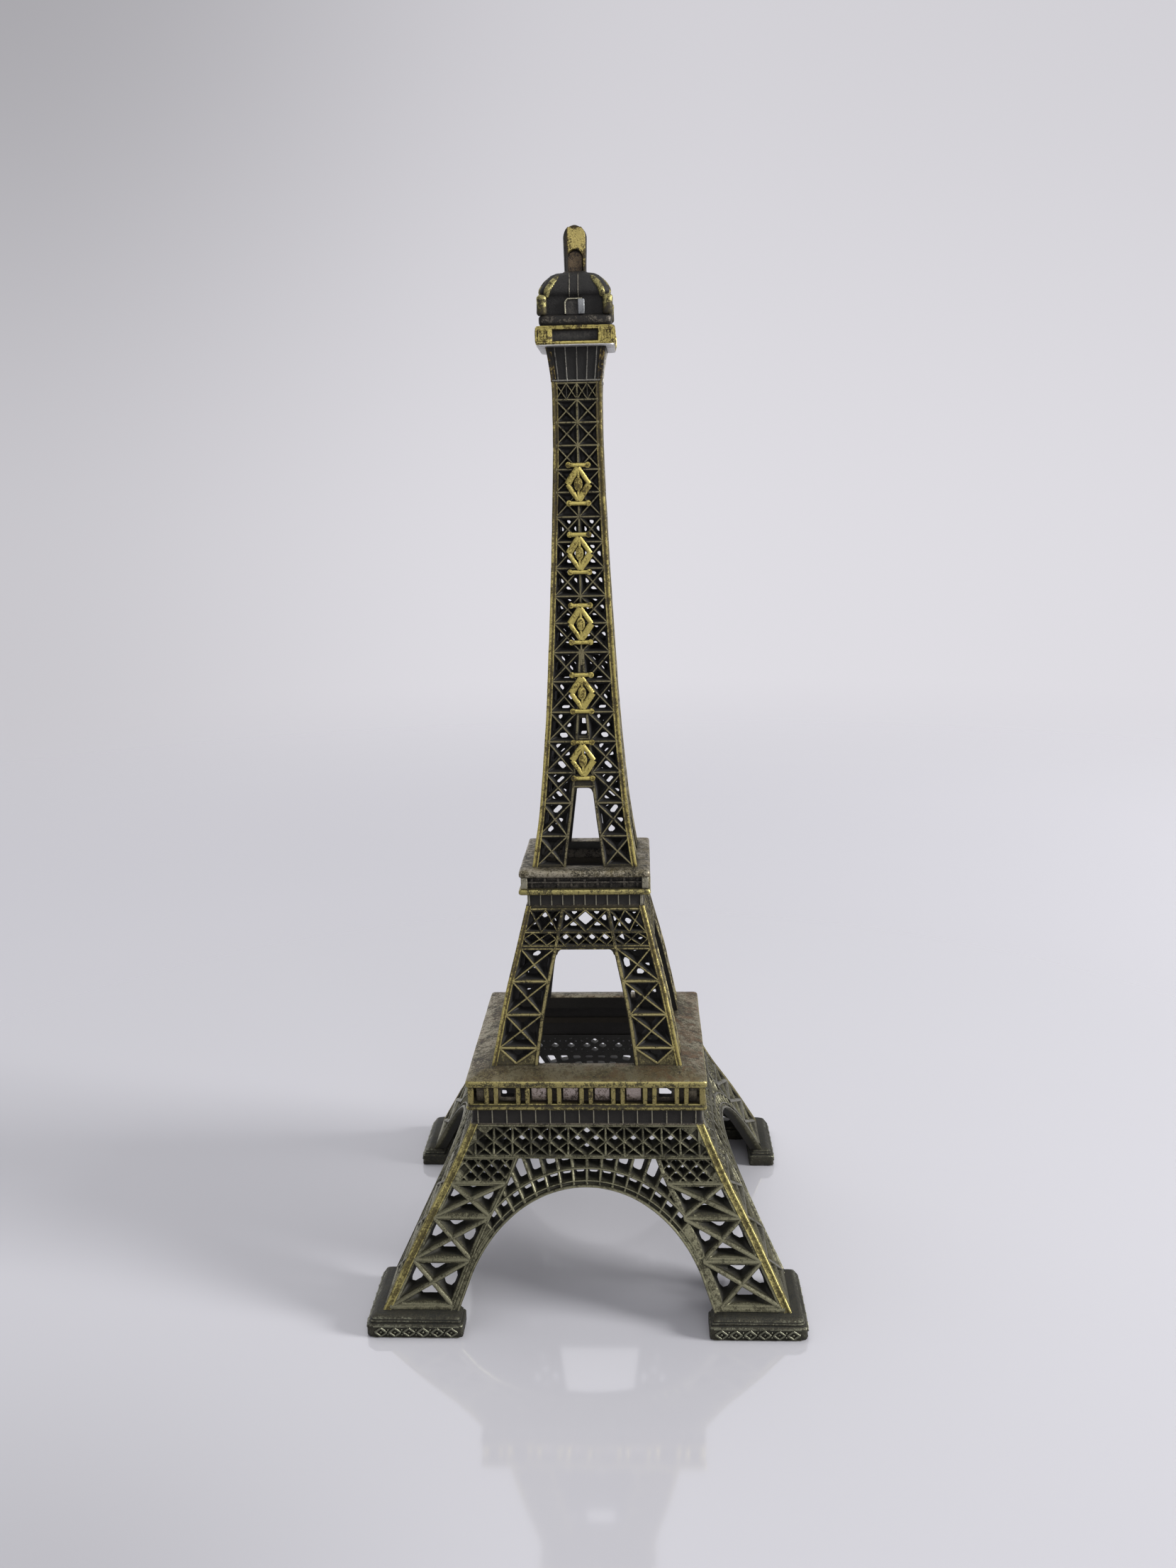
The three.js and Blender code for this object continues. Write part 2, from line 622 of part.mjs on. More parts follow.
place('first_frieze_ring', squareRing(FRIEZE1), DARK);
place('first_ledge_ring', squareRing(LEDGE1), GOLD_SOFT);
place('first_gallery_wall', galleryWall(), DARK);
placeAround('first_balustrade', SIDES, balustrade, GOLD);
place('first_deck', firstDeck(), BRONZE);

placeAround('middle_panel', SIDES, middlePanel, GOLD);
place('second_frieze_ring', squareRing(FRIEZE2), DARK);
place('second_ledge_ring', squareRing(LEDGE2), GOLD_SOFT);
place('second_cornice_core', fromSolid(blockedRing(CORNICE2)), DARK);
place('second_deck', squareRing(DECK2), PALE_DULL);

placeAround('column_panel', SIDES, columnPanel, GOLD);
ORNAMENT_CENTRES.forEach((z, i) => place(`column_ornament_${i + 1}`, ornament(z), GOLD_BRIGHT));

place('neck_collar', neckCollar(), DARK);
place('top_gallery_band', topGallery(), GOLD_BRIGHT);
const plinthPlan = squarePoints(PLINTH.outer, PLINTH.radius, 2);
place('dome_plinth', prism(plinthPlan, PLINTH.z0, PLINTH.z1), DARK);
place('dome', dome(), DARK_DULL);
for (const [name, signX, signY] of CORNERS) {
  const at = [signX * BOSS.at, signY * BOSS.at, 0];
  place(`dome_boss_${name}`, cornerBoss(), GOLD_BRIGHT, { at });
}
place('dome_door_block', doorBlock(), PALE);
place('finial', finial(), GOLD_BRIGHT);

export default tower;
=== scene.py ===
import math
import bpy
import bmesh
import numpy as np
from mathutils import Vector, Matrix, noise
from mathutils.geometry import delaunay_2d_cdt


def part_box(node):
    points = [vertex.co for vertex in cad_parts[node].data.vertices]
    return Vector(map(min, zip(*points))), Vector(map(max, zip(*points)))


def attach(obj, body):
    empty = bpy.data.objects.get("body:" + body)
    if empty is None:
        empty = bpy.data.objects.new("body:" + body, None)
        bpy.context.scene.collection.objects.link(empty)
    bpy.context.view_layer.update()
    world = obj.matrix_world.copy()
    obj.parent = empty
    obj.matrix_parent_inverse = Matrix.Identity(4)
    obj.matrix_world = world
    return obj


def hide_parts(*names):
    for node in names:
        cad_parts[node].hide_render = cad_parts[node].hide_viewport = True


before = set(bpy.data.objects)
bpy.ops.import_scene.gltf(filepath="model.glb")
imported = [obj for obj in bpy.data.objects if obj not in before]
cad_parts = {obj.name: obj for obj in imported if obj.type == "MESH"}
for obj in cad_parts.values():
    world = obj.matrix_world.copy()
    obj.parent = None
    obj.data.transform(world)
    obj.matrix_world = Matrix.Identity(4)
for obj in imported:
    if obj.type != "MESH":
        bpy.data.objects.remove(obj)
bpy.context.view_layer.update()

MM = 0.001


def node_box(name):
    lo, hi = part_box(name)
    return [v * 1000 for v in lo], [v * 1000 for v in hi]


# ------------------------------------------------------------------ sizes, from the frame
FOOT_LO, FOOT_HI = node_box("foot_plinth_front_left")
FOOT_HALF = -FOOT_LO[0]
FOOT_IN = -FOOT_HI[0]
FOOT_H = FOOT_HI[2]
FR1 = node_box("first_frieze_ring")
LG1 = node_box("first_ledge_ring")
DK1 = node_box("first_deck")
FR2 = node_box("second_frieze_ring")
LG2 = node_box("second_ledge_ring")
CO2 = node_box("second_cornice_core")
DK2 = node_box("second_deck")
NK = node_box("neck_collar")
GT = node_box("top_gallery_band")
PL = node_box("dome_plinth")
DM = node_box("dome")
FN = node_box("finial")
HEIGHT = FN[1][2]

PROFILE = [
    (0, 36.2), (3.4, 34.3), (13.5, 29.15), (23.5, 23.5), (30.2, 20.4),
    (30.3, 20.4), (39.0, 16.75), (46.2, 15.3), (52.3, 14.05), (58.2, 12.5), (66.7, 10.4),
    (73.4, 9.2), (76.4, 8.72), (82.5, 7.8), (88.7, 7.2), (94.9, 6.65), (101, 6.2),
    (107.1, 5.85), (113.1, 5.5), (119.1, 5.2), (125, 4.9), (131, 4.65), (137, 4.4),
    (142.5, 4.2), (148.2, 4.1), (155, 4.1), (157.3, 4.3), (159.5, 4.7), (160.7, 4.95),
]
_PZ = [p[0] for p in PROFILE]
_PA = [p[1] for p in PROFILE]


def _smooth_run(z0, z1, width):
    zs = np.arange(z0 - 12, z1 + 12, 0.25)
    a = np.interp(zs, [z for z in _PZ if z0 <= z <= z1], [v for z, v in PROFILE if z0 <= z <= z1])
    inside = [(z, v) for z, v in PROFILE if z0 <= z <= z1]
    s0 = (inside[1][1] - inside[0][1]) / (inside[1][0] - inside[0][0])
    s1 = (inside[-1][1] - inside[-2][1]) / (inside[-1][0] - inside[-2][0])
    a = np.where(zs < z0, inside[0][1] + (zs - z0) * s0, a)
    a = np.where(zs > z1, inside[-1][1] + (zs - z1) * s1, a)
    k = int(width / 0.25) | 1
    pad = k // 2
    b = np.convolve(a, np.ones(k) / k, mode="same")
    b[:pad] = a[:pad]
    b[-pad:] = a[-pad:]
    return zs, b


_RUN_BASE = _smooth_run(3.4, 30.2, 6)
_RUN_MID = _smooth_run(39.0, 66.7, 6)
_RUN_COL = _smooth_run(73.4, 160.7, 5)


def half(z):
    run = _RUN_BASE if z < 34 else (_RUN_MID if z < 70 else _RUN_COL)
    return float(np.interp(z, run[0], run[1]))


def table(rows, z):
    return float(np.interp(z, [r[0] for r in rows], [r[1] for r in rows]))


# ------------------------------------------------------------------ mesh container
class Solid:
    """Vertices in millimetres, faces, and a relief depth for each vertex."""

    def __init__(self):
        self.v, self.f, self.d = [], [], []

    def add(self, pts, dep=0.0):
        base = len(self.v)
        self.v.extend([tuple(p) for p in pts])
        self.d.extend(list(dep) if hasattr(dep, "__len__") else [dep] * len(pts))
        return base

    def bridge(self, a, b, n, flip=False):
        for i in range(n):
            j = (i + 1) % n
            q = (a + i, a + j, b + j, b + i)
            self.f.append(q[::-1] if flip else q)

    def join(self, other):
        base = len(self.v)
        self.v.extend(other.v)
        self.d.extend(other.d)
        self.f.extend([tuple(i + base for i in f) for f in other.f])
        return self

    def turned(self, quarter):
        out = Solid()
        c, s = [(1, 0), (0, 1), (-1, 0), (0, -1)][quarter % 4]
        out.v = [(x * c - y * s, x * s + y * c, z) for x, y, z in self.v]
        out.f = list(self.f)
        out.d = list(self.d)
        return out


def loft(loops, deps=None, cap=True):
    """Closed body through a list of loops with the same number of points."""
    s = Solid()
    n = len(loops[0])
    bases = [s.add(l, 0.0 if deps is None else deps[k]) for k, l in enumerate(loops)]
    for a, b in zip(bases, bases[1:]):
        s.bridge(a, b, n)
    if cap:
        s.f.append(tuple(bases[0] + i for i in range(n))[::-1])
        s.f.append(tuple(bases[-1] + i for i in range(n)))
    else:
        s.bridge(bases[-1], bases[0], n)
    return s


WOBBLE = 0.035


def to_object(name, solid, material, replaces=(), sharp=38, wobble=WOBBLE, subdiv=0):
    co = np.array(solid.v, dtype=float)
    if wobble:
        for i, p in enumerate(co):
            q = Vector(p) * 0.55
            n = noise.noise_vector(q) * wobble + noise.noise_vector(q * 2.7) * wobble * 0.45
            co[i] += (n.x, n.y, n.z * 0.6)
    me = bpy.data.meshes.new(name)
    me.from_pydata([tuple(p * MM) for p in co], [], solid.f)
    me.validate()
    at = me.attributes.new("dep", "FLOAT", "POINT")
    at.data.foreach_set("value", np.array(solid.d, dtype=np.float32))
    bm = bmesh.new()
    bm.from_mesh(me)
    bmesh.ops.recalc_face_normals(bm, faces=bm.faces)
    bm.to_mesh(me)
    bm.free()
    me.polygons.foreach_set("use_smooth", [True] * len(me.polygons))
    me.set_sharp_from_angle(angle=math.radians(sharp))
    me.materials.append(material)
    ob = bpy.data.objects.new(name, me)
    bpy.context.scene.collection.objects.link(ob)
    if subdiv:
        m = ob.modifiers.new("sub", "SUBSURF")
        m.levels = m.render_levels = subdiv
    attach(ob, "root")
    for n in replaces:
        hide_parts(n)
    return ob


# ------------------------------------------------------------------ flat geometry helpers
def ccw(p):
    a = sum(p[i][0] * p[(i + 1) % len(p)][1] - p[(i + 1) % len(p)][0] * p[i][1] for i in range(len(p)))
    return list(p) if a > 0 else list(p)[::-1]


def area_len(p):
    n = len(p)
    a = abs(sum(p[i][0] * p[(i + 1) % n][1] - p[(i + 1) % n][0] * p[i][1] for i in range(n))) / 2
    return a, sum(math.dist(p[i], p[(i + 1) % n]) for i in range(n))


def clip(p, q, r):
    """Keep the part of a convex polygon on the left of the line q to r."""
    nx, ny = -(r[1] - q[1]), r[0] - q[0]
    l = math.hypot(nx, ny)
    nx, ny = nx / l, ny / l
    side = [(v[0] - q[0]) * nx + (v[1] - q[1]) * ny for v in p]
    out = []
    for i in range(len(p)):
        j = (i + 1) % len(p)
        a, b = side[i], side[j]
        if a >= 0:
            out.append(p[i])
        if (a >= 0) != (b >= 0):
            t = a / (a - b)
            out.append((p[i][0] + (p[j][0] - p[i][0]) * t, p[i][1] + (p[j][1] - p[i][1]) * t))
    clean = []
    for v in out:
        if not clean or math.dist(v, clean[-1]) > 0.02:
            clean.append(v)
    if len(clean) > 1 and math.dist(clean[0], clean[-1]) <= 0.02:
        clean.pop()
    return clean


def inset(p, d):
    """Move every edge of a convex counter-clockwise polygon inward."""
    n = len(p)
    ds = d if hasattr(d, "__len__") else [d] * n
    lines = []
    for i in range(n):
        a, b = p[i], p[(i + 1) % n]
        l = math.dist(a, b)
        u = ((b[0] - a[0]) / l, (b[1] - a[1]) / l)
        lines.append((a[0] - u[1] * ds[i], a[1] + u[0] * ds[i], u[0], u[1]))
    out = []
    for i in range(n):
        ax, ay, ux, uy = lines[i - 1]
        bx, by, vx, vy = lines[i]
        den = ux * vy - uy * vx
        if abs(den) < 1e-6:
            out.append((bx, by))
            continue
        t = ((bx - ax) * vy - (by - ay) * vx) / den
        out.append((ax + ux * t, ay + uy * t))
    return out


def fillet(p, r, m):
    n = len(p)
    out = []
    for i in range(n):
        a, c, b = p[i - 1], p[i], p[(i + 1) % n]
        la, lb = math.dist(a, c), math.dist(b, c)
        ux, uy = (a[0] - c[0]) / la, (a[1] - c[1]) / la
        vx, vy = (b[0] - c[0]) / lb, (b[1] - c[1]) / lb
        th = math.acos(max(-1, min(1, ux * vx + uy * vy)))
        t = min(r / math.tan(th / 2), 0.46 * min(la, lb))
        rr = t * math.tan(th / 2)
        bx, by = ux + vx, uy + vy
        bl = math.hypot(bx, by)
        k = rr / math.sin(th / 2) / bl
        cx, cy = c[0] + bx * k, c[1] + by * k
        s = (c[0] + ux * t - cx, c[1] + uy * t - cy)
        e = (c[0] + vx * t - cx, c[1] + vy * t - cy)
        a0, a1 = math.atan2(s[1], s[0]), math.atan2(e[1], e[0])
        da = (a1 - a0 + math.pi) % (2 * math.pi) - math.pi
        for j in range(m):
            w = a0 + da * j / (m - 1)
            out.append((cx + rr * math.cos(w), cy + rr * math.sin(w)))
    return out


def quad_x(bl, br, tr, tl):
    """The four triangles of a crossed cell."""
    def meet(p, q, r, s):
        d = (q[0] - p[0], q[1] - p[1])
        e = (s[0] - r[0], s[1] - r[1])
        den = d[0] * e[1] - d[1] * e[0]
        t = ((r[0] - p[0]) * e[1] - (r[1] - p[1]) * e[0]) / den
        return (p[0] + d[0] * t, p[1] + d[1] * t)
    c = meet(bl, tr, br, tl)
    return [[bl, br, c], [br, tr, c], [tr, tl, c], [tl, bl, c]]


M_FIL = 3


def rings_for(poly, bar, bev, draft, T, front, blind=False, rfront=0.07, rback=0.45, pocket=0.62, minhole=0.13):
    """Rings from the outer face inward for one opening. Returns (rings, depths, through) or None."""
    poly = ccw(poly)
    if len(poly) < 3:
        return None
    a, per = area_len(poly)
    if a < 0.05:
        return None
    r_in = 2 * a / per
    if r_in - bar < 0.14:
        return None
    core = inset(poly, bar)
    n = len(core)
    for i in range(n):
        a0, b0, c0 = core[i - 1], core[i], core[(i + 1) % n]
        if (b0[0] - a0[0]) * (c0[1] - b0[1]) - (b0[1] - a0[1]) * (c0[0] - b0[0]) < 1e-4:
            return None
    ca, cp = area_len(core)
    room = 2 * ca / cp
    if room < 0.15 or min(math.dist(core[i], core[i - 1]) for i in range(len(core))) < 0.16:
        return None
    r0 = fillet(inset(poly, bar - bev), rfront, M_FIL)
    r1 = fillet(core, rfront, M_FIL)
    d_eff = min(draft, room - minhole)
    if d_eff < draft * 0.45 or room < minhole + 0.06:
        blind = True
    if blind:
        k = min(room * 0.55, draft)
        r2 = fillet(inset(poly, bar + k * 0.35), rback * 0.4, M_FIL)
        r3 = fillet(inset(poly, bar + k), rback * 0.6, M_FIL)
        dp = min(pocket, T - front - 0.25)
        return [r0, r1, r2, r3], [front, front + bev, front + dp * 0.55, front + dp], False
    mid = front + (T - front) * 0.45
    r2 = fillet(inset(poly, bar + d_eff * 0.55), rback * 0.6, M_FIL)
    r3 = fillet(inset(poly, bar + d_eff), min(rback, room), M_FIL)
    return [r0, r1, r2, r3], [front, front + bev, mid, T], True


def held(ring, loop, gap=0.1):
    """The ring with its points kept inside the outer sides of the loop."""
    out = []
    for x, z in ring:
        xs = [x0 + (x1 - x0) * (z - z0) / (z1 - z0)
              for (x0, z0), (x1, z1) in zip(loop, loop[1:] + loop[:1]) if (z0 <= z) != (z1 <= z)]
        if xs:
            x = min(max(x, min(xs) + gap), max(xs) - gap)
        out.append((x, z))
    return out


def plate(outline, holes, T, front, bev, place):
    """outline(depth, e) gives the outer loop, e is the extra edge bevel. holes come from rings_for.
    place(x, z, depth) gives the point in space."""
    s = Solid()
    rings = [(front, bev), (front + bev, 0.0), (T, 0.0)]
    bases, loops = [], []
    for dep, e in rings:
        loop = outline(dep, e)
        loops.append(loop)
        bases.append(s.add([place(x, z, dep) for x, z in loop], dep))
    n = len(loops[0])
    for a, b in zip(bases, bases[1:]):
        s.bridge(a, b, n, flip=True)
    front_loops = [(loops[0], bases[0])]
    back_loops = [(loops[-1], bases[-1])]
    for rr, dd, through in holes:
        new = rr[:2] + [held(r, outline(d, 0.0)) for r, d in zip(rr[2:], dd[2:])]
        if any(area_len(b)[0] < 0.6 * area_len(a)[0] for a, b in zip(rr, new)):
            # too close to a mitred side to run through: a shallow pocket instead
            cx, cz = [sum(p[i] for p in rr[1]) / len(rr[1]) for i in (0, 1)]
            rr = rr[:2] + [[(cx + (x - cx) * k, cz + (z - cz) * k) for x, z in rr[1]] for k in (0.82, 0.66)]
            dd, through = [dd[0], dd[1], dd[1] + 0.22, dd[1] + 0.42], False
            new = rr[:2] + [held(r, outline(d, 0.0)) for r, d in zip(rr[2:], dd[2:])]
            if any(area_len(b)[0] < 0.9 * area_len(a)[0] for a, b in zip(rr, new)):
                continue
        rr = new
        hb = [s.add([place(x, z, d) for x, z in ring], d) for ring, d in zip(rr, dd)]
        m = len(rr[0])
        for a, b in zip(hb, hb[1:]):
            s.bridge(a, b, m)
        front_loops.append((rr[0], hb[0]))
        if through:
            back_loops.append((rr[-1], hb[-1]))
        else:
            s.f.append(tuple(hb[-1] + i for i in range(m)))
    for group, flip in ((front_loops, False), (back_loops, True)):
        pts, edges, index = [], [], []
        for loop, base in group:
            k = len(pts)
            pts.extend([Vector(p) for p in loop])
            index.extend(range(base, base + len(loop)))
            edges.extend([(k + i, k + (i + 1) % len(loop)) for i in range(len(loop))])
        vo, _, fo, ov, _, _ = delaunay_2d_cdt(pts, edges, [], 1, 1e-7)
        back = [index[o[0]] if o else None for o in ov]
        tri = [f for f in fo if len(f) == 3]
        cen = np.array([[sum(vo[i].x for i in f) / 3, sum(vo[i].y for i in f) / 3] for f in tri])
        keep = np.ones(len(tri), bool)
        for li, (loop, _) in enumerate(group):
            poly = np.array(loop)
            x, y = cen[:, 0], cen[:, 1]
            ins = np.zeros(len(cen), bool)
            j = len(poly) - 1
            for i in range(len(poly)):
                xi, yi = poly[i]
                xj, yj = poly[j]
                cond = ((yi > y) != (yj > y)) & (x < (xj - xi) * (y - yi) / (yj - yi + 1e-15) + xi)
                ins ^= cond
                j = i
            keep &= ins if li == 0 else ~ins
        for f, k in zip(tri, keep):
            if not k or any(back[i] is None for i in f):
                continue
            g = tuple(back[i] for i in f)
            a, b, c = (vo[i] for i in f)
            area = (b.x - a.x) * (c.y - a.y) - (c.x - a.x) * (b.y - a.y)
            if (area < 0) != flip:
                g = g[::-1]
            s.f.append(g)
    return s


def on_front(x, z, depth):
    return (x, -half(z) + depth, z)


# ------------------------------------------------------------------ sweeps and boxes
def chamfer_box(x0, x1, y0, y1, z0, z1, b=0.1, dep=0.0):
    def rect(i, z):
        c = b * 0.7
        a0, a1, b0, b1 = x0 + i, x1 - i, y0 + i, y1 - i
        return [(a0 + c, b0, z), (a1 - c, b0, z), (a1, b0 + c, z), (a1, b1 - c, z),
                (a1 - c, b1, z), (a0 + c, b1, z), (a0, b1 - c, z), (a0, b0 + c, z)]
    s = loft([rect(b, z0), rect(b * 0.3, z0 + b * 0.3), rect(0, z0 + b), rect(0, z1 - b), rect(b * 0.3, z1 - b * 0.3), rect(b, z1)])
    s.d = [dep] * len(s.v)
    return s


def square_loop(h, z, r, n=4, side=6):
    """A square loop of half width h with rounded corners, counter-clockwise from above."""
    pts = []
    r = max(min(r, h * 0.9), 0.01)
    for sx, sy, a0 in ((1, -1, -90), (1, 1, 0), (-1, 1, 90), (-1, -1, 180)):
        for i in range(n + 1):
            a = math.radians(a0 + 90 * i / n)
            pts.append((sx * (h - r) + r * math.cos(a), sy * (h - r) + r * math.sin(a), z))
        last = pts[-1]
        nx, ny = {(1, -1): (h, h - r), (1, 1): (-(h - r), h), (-1, 1): (-h, -(h - r)), (-1, -1): (h - r, -h)}[(sx, sy)]
        for k in range(1, side):
            t = k / side
            pts.append((last[0] + (nx - last[0]) * t, last[1] + (ny - last[1]) * t, z))
    return pts


def square_ring(profile, r=0.3, rin=0.1, n=4, side=6, deps=None):
    """Ring with a square plan from a closed profile of (half, z) points, outer side first going up."""
    mid = (max(p[0] for p in profile) + min(p[0] for p in profile)) / 2
    loops = [square_loop(h, z, r if h > mid else rin, n, side) for h, z in profile]
    s = loft(loops, deps, cap=False)
    return s


def square_body(profile, r=0.3, n=4, side=6, deps=None, rfun=None):
    loops = [square_loop(h, z, rfun(h, z) if rfun else r, n, side) for h, z in profile]
    return loft(loops, deps)


def strip(path, w, depth_back, z_list, raise_to=0.0, groove=0.0, edge=0.1):
    """A raised bar on the front face, centre line x = path(z)."""
    if groove:
        sec = [(-0.5, depth_back), (-0.5, raise_to + edge), (-0.5 + 0.06, raise_to), (-0.5 + 0.18, raise_to),
               (-0.5 + 0.26, raise_to + groove), (0.5 - 0.26, raise_to + groove), (0.5 - 0.18, raise_to),
               (0.5 - 0.06, raise_to), (0.5, raise_to + edge), (0.5, depth_back)]
    else:
        sec = [(-0.5, depth_back), (-0.5, raise_to + edge), (-0.34, raise_to + edge * 0.15), (0, raise_to),
               (0.34, raise_to + edge * 0.15), (0.5, raise_to + edge), (0.5, depth_back)]
    loops, deps = [], []
    for z in z_list:
        x = path(z)
        loops.append([(x + u * w, -half(z) + d, z) for u, d in sec])
        deps.append([d - raise_to for _, d in sec])
    return loft(loops, deps)


def bar_between(p, q, w, depth_back, raise_to=0.0, edge=0.08, place=on_front, seg=1):
    """A raised bar on the front face between two (x, z) points."""
    dx, dz = q[0] - p[0], q[1] - p[1]
    l = math.hypot(dx, dz)
    nx, nz = -dz / l, dx / l
    sec = [(-0.5, depth_back), (-0.5, raise_to + edge), (-0.3, raise_to + edge * 0.15), (0, raise_to),
           (0.3, raise_to + edge * 0.15), (0.5, raise_to + edge), (0.5, depth_back)]
    loops, deps = [], []
    for k in range(seg + 1):
        t = k / seg
        cx, cz = p[0] + dx * t, p[1] + dz * t
        loops.append([place(cx + nx * u * w, cz + nz * u * w, d) for u, d in sec])
        deps.append([d - raise_to for _, d in sec])
    return loft(loops, deps)


def corner_chord(zs, w, back, over=0.0, groove=0.06, ridge=0.17, rc=0.16):
    """The L-shaped corner bar at the front left corner, following the tower profile."""
    arm = [(w, back), (w, 0.13), (w - 0.05, 0.03), (w - 0.12, 0.0), (w - ridge - 0.05, 0.0), (w - ridge - 0.16, groove),
           (0.46, groove), (0.36, 0.0), (rc, 0.0), (rc * 0.32, rc * 0.32)]
    sec = arm + [(b, a) for a, b in arm[:-1][::-1]] + [(back, back)]
    dep = [back, 0.13, 0.03, 0, 0, groove, groove, 0, 0, 0]
    dep = dep + dep[:-1][::-1] + [back]
    loops = []
    for z in zs:
        a = half(z) + over
        loops.append([(-a + u, -a + v, z) for u, v in sec][::-1])
    return loft(loops, [dep[::-1]] * len(loops))


def frange(a, b, n):
    return [a + (b - a) * i / n for i in range(n + 1)]


# ------------------------------------------------------------------ materials
def nodes_of(mat):
    mat.use_nodes = True
    nt = mat.node_tree
    nt.nodes.clear()
    return nt


class Net:
    def __init__(self, nt):
        self.nt = nt

    def new(self, kind, **kw):
        n = self.nt.nodes.new(kind)
        for k, v in kw.items():
            if k.startswith("i_"):
                n.inputs[k[2:].replace("_", " ")].default_value = v
            else:
                setattr(n, k, v)
        return n

    def link(self, a, b):
        self.nt.links.new(a, b)

    def math(self, op, a, b=None, c=None, clamp=False):
        n = self.nt.nodes.new("ShaderNodeMath")
        n.operation = op
        n.use_clamp = clamp
        for i, v in enumerate((a, b, c)):
            if v is None:
                continue
            if hasattr(v, "is_linked"):
                self.link(v, n.inputs[i])
            else:
                n.inputs[i].default_value = v
        return n.outputs[0]

    def ramp(self, fac, stops):
        n = self.nt.nodes.new("ShaderNodeMapRange")
        n.clamp = True
        n.interpolation_type = "SMOOTHSTEP"
        self.link(fac, n.inputs[0])
        for i, v in enumerate(stops):
            n.inputs[1 + i].default_value = v
        return n.outputs[0]

    def mix(self, fac, a, b, blend="MIX"):
        n = self.nt.nodes.new("ShaderNodeMix")
        n.data_type = "RGBA"
        n.blend_type = blend
        for sock, v in ((n.inputs[0], fac), (n.inputs[6], a), (n.inputs[7], b)):
            if hasattr(v, "is_linked"):
                self.link(v, sock)
            elif isinstance(v, (int, float)):
                sock.default_value = v
            else:
                sock.default_value = (*v, 1.0)
        return n.outputs[2]

    def noise(self, vec, scale, detail=3, rough=0.55, dist=0.0):
        n = self.nt.nodes.new("ShaderNodeTexNoise")
        n.inputs["Scale"].default_value = scale
        n.inputs["Detail"].default_value = detail
        n.inputs["Roughness"].default_value = rough
        n.inputs["Distortion"].default_value = dist
        self.link(vec, n.inputs["Vector"])
        return n.outputs["Fac"]


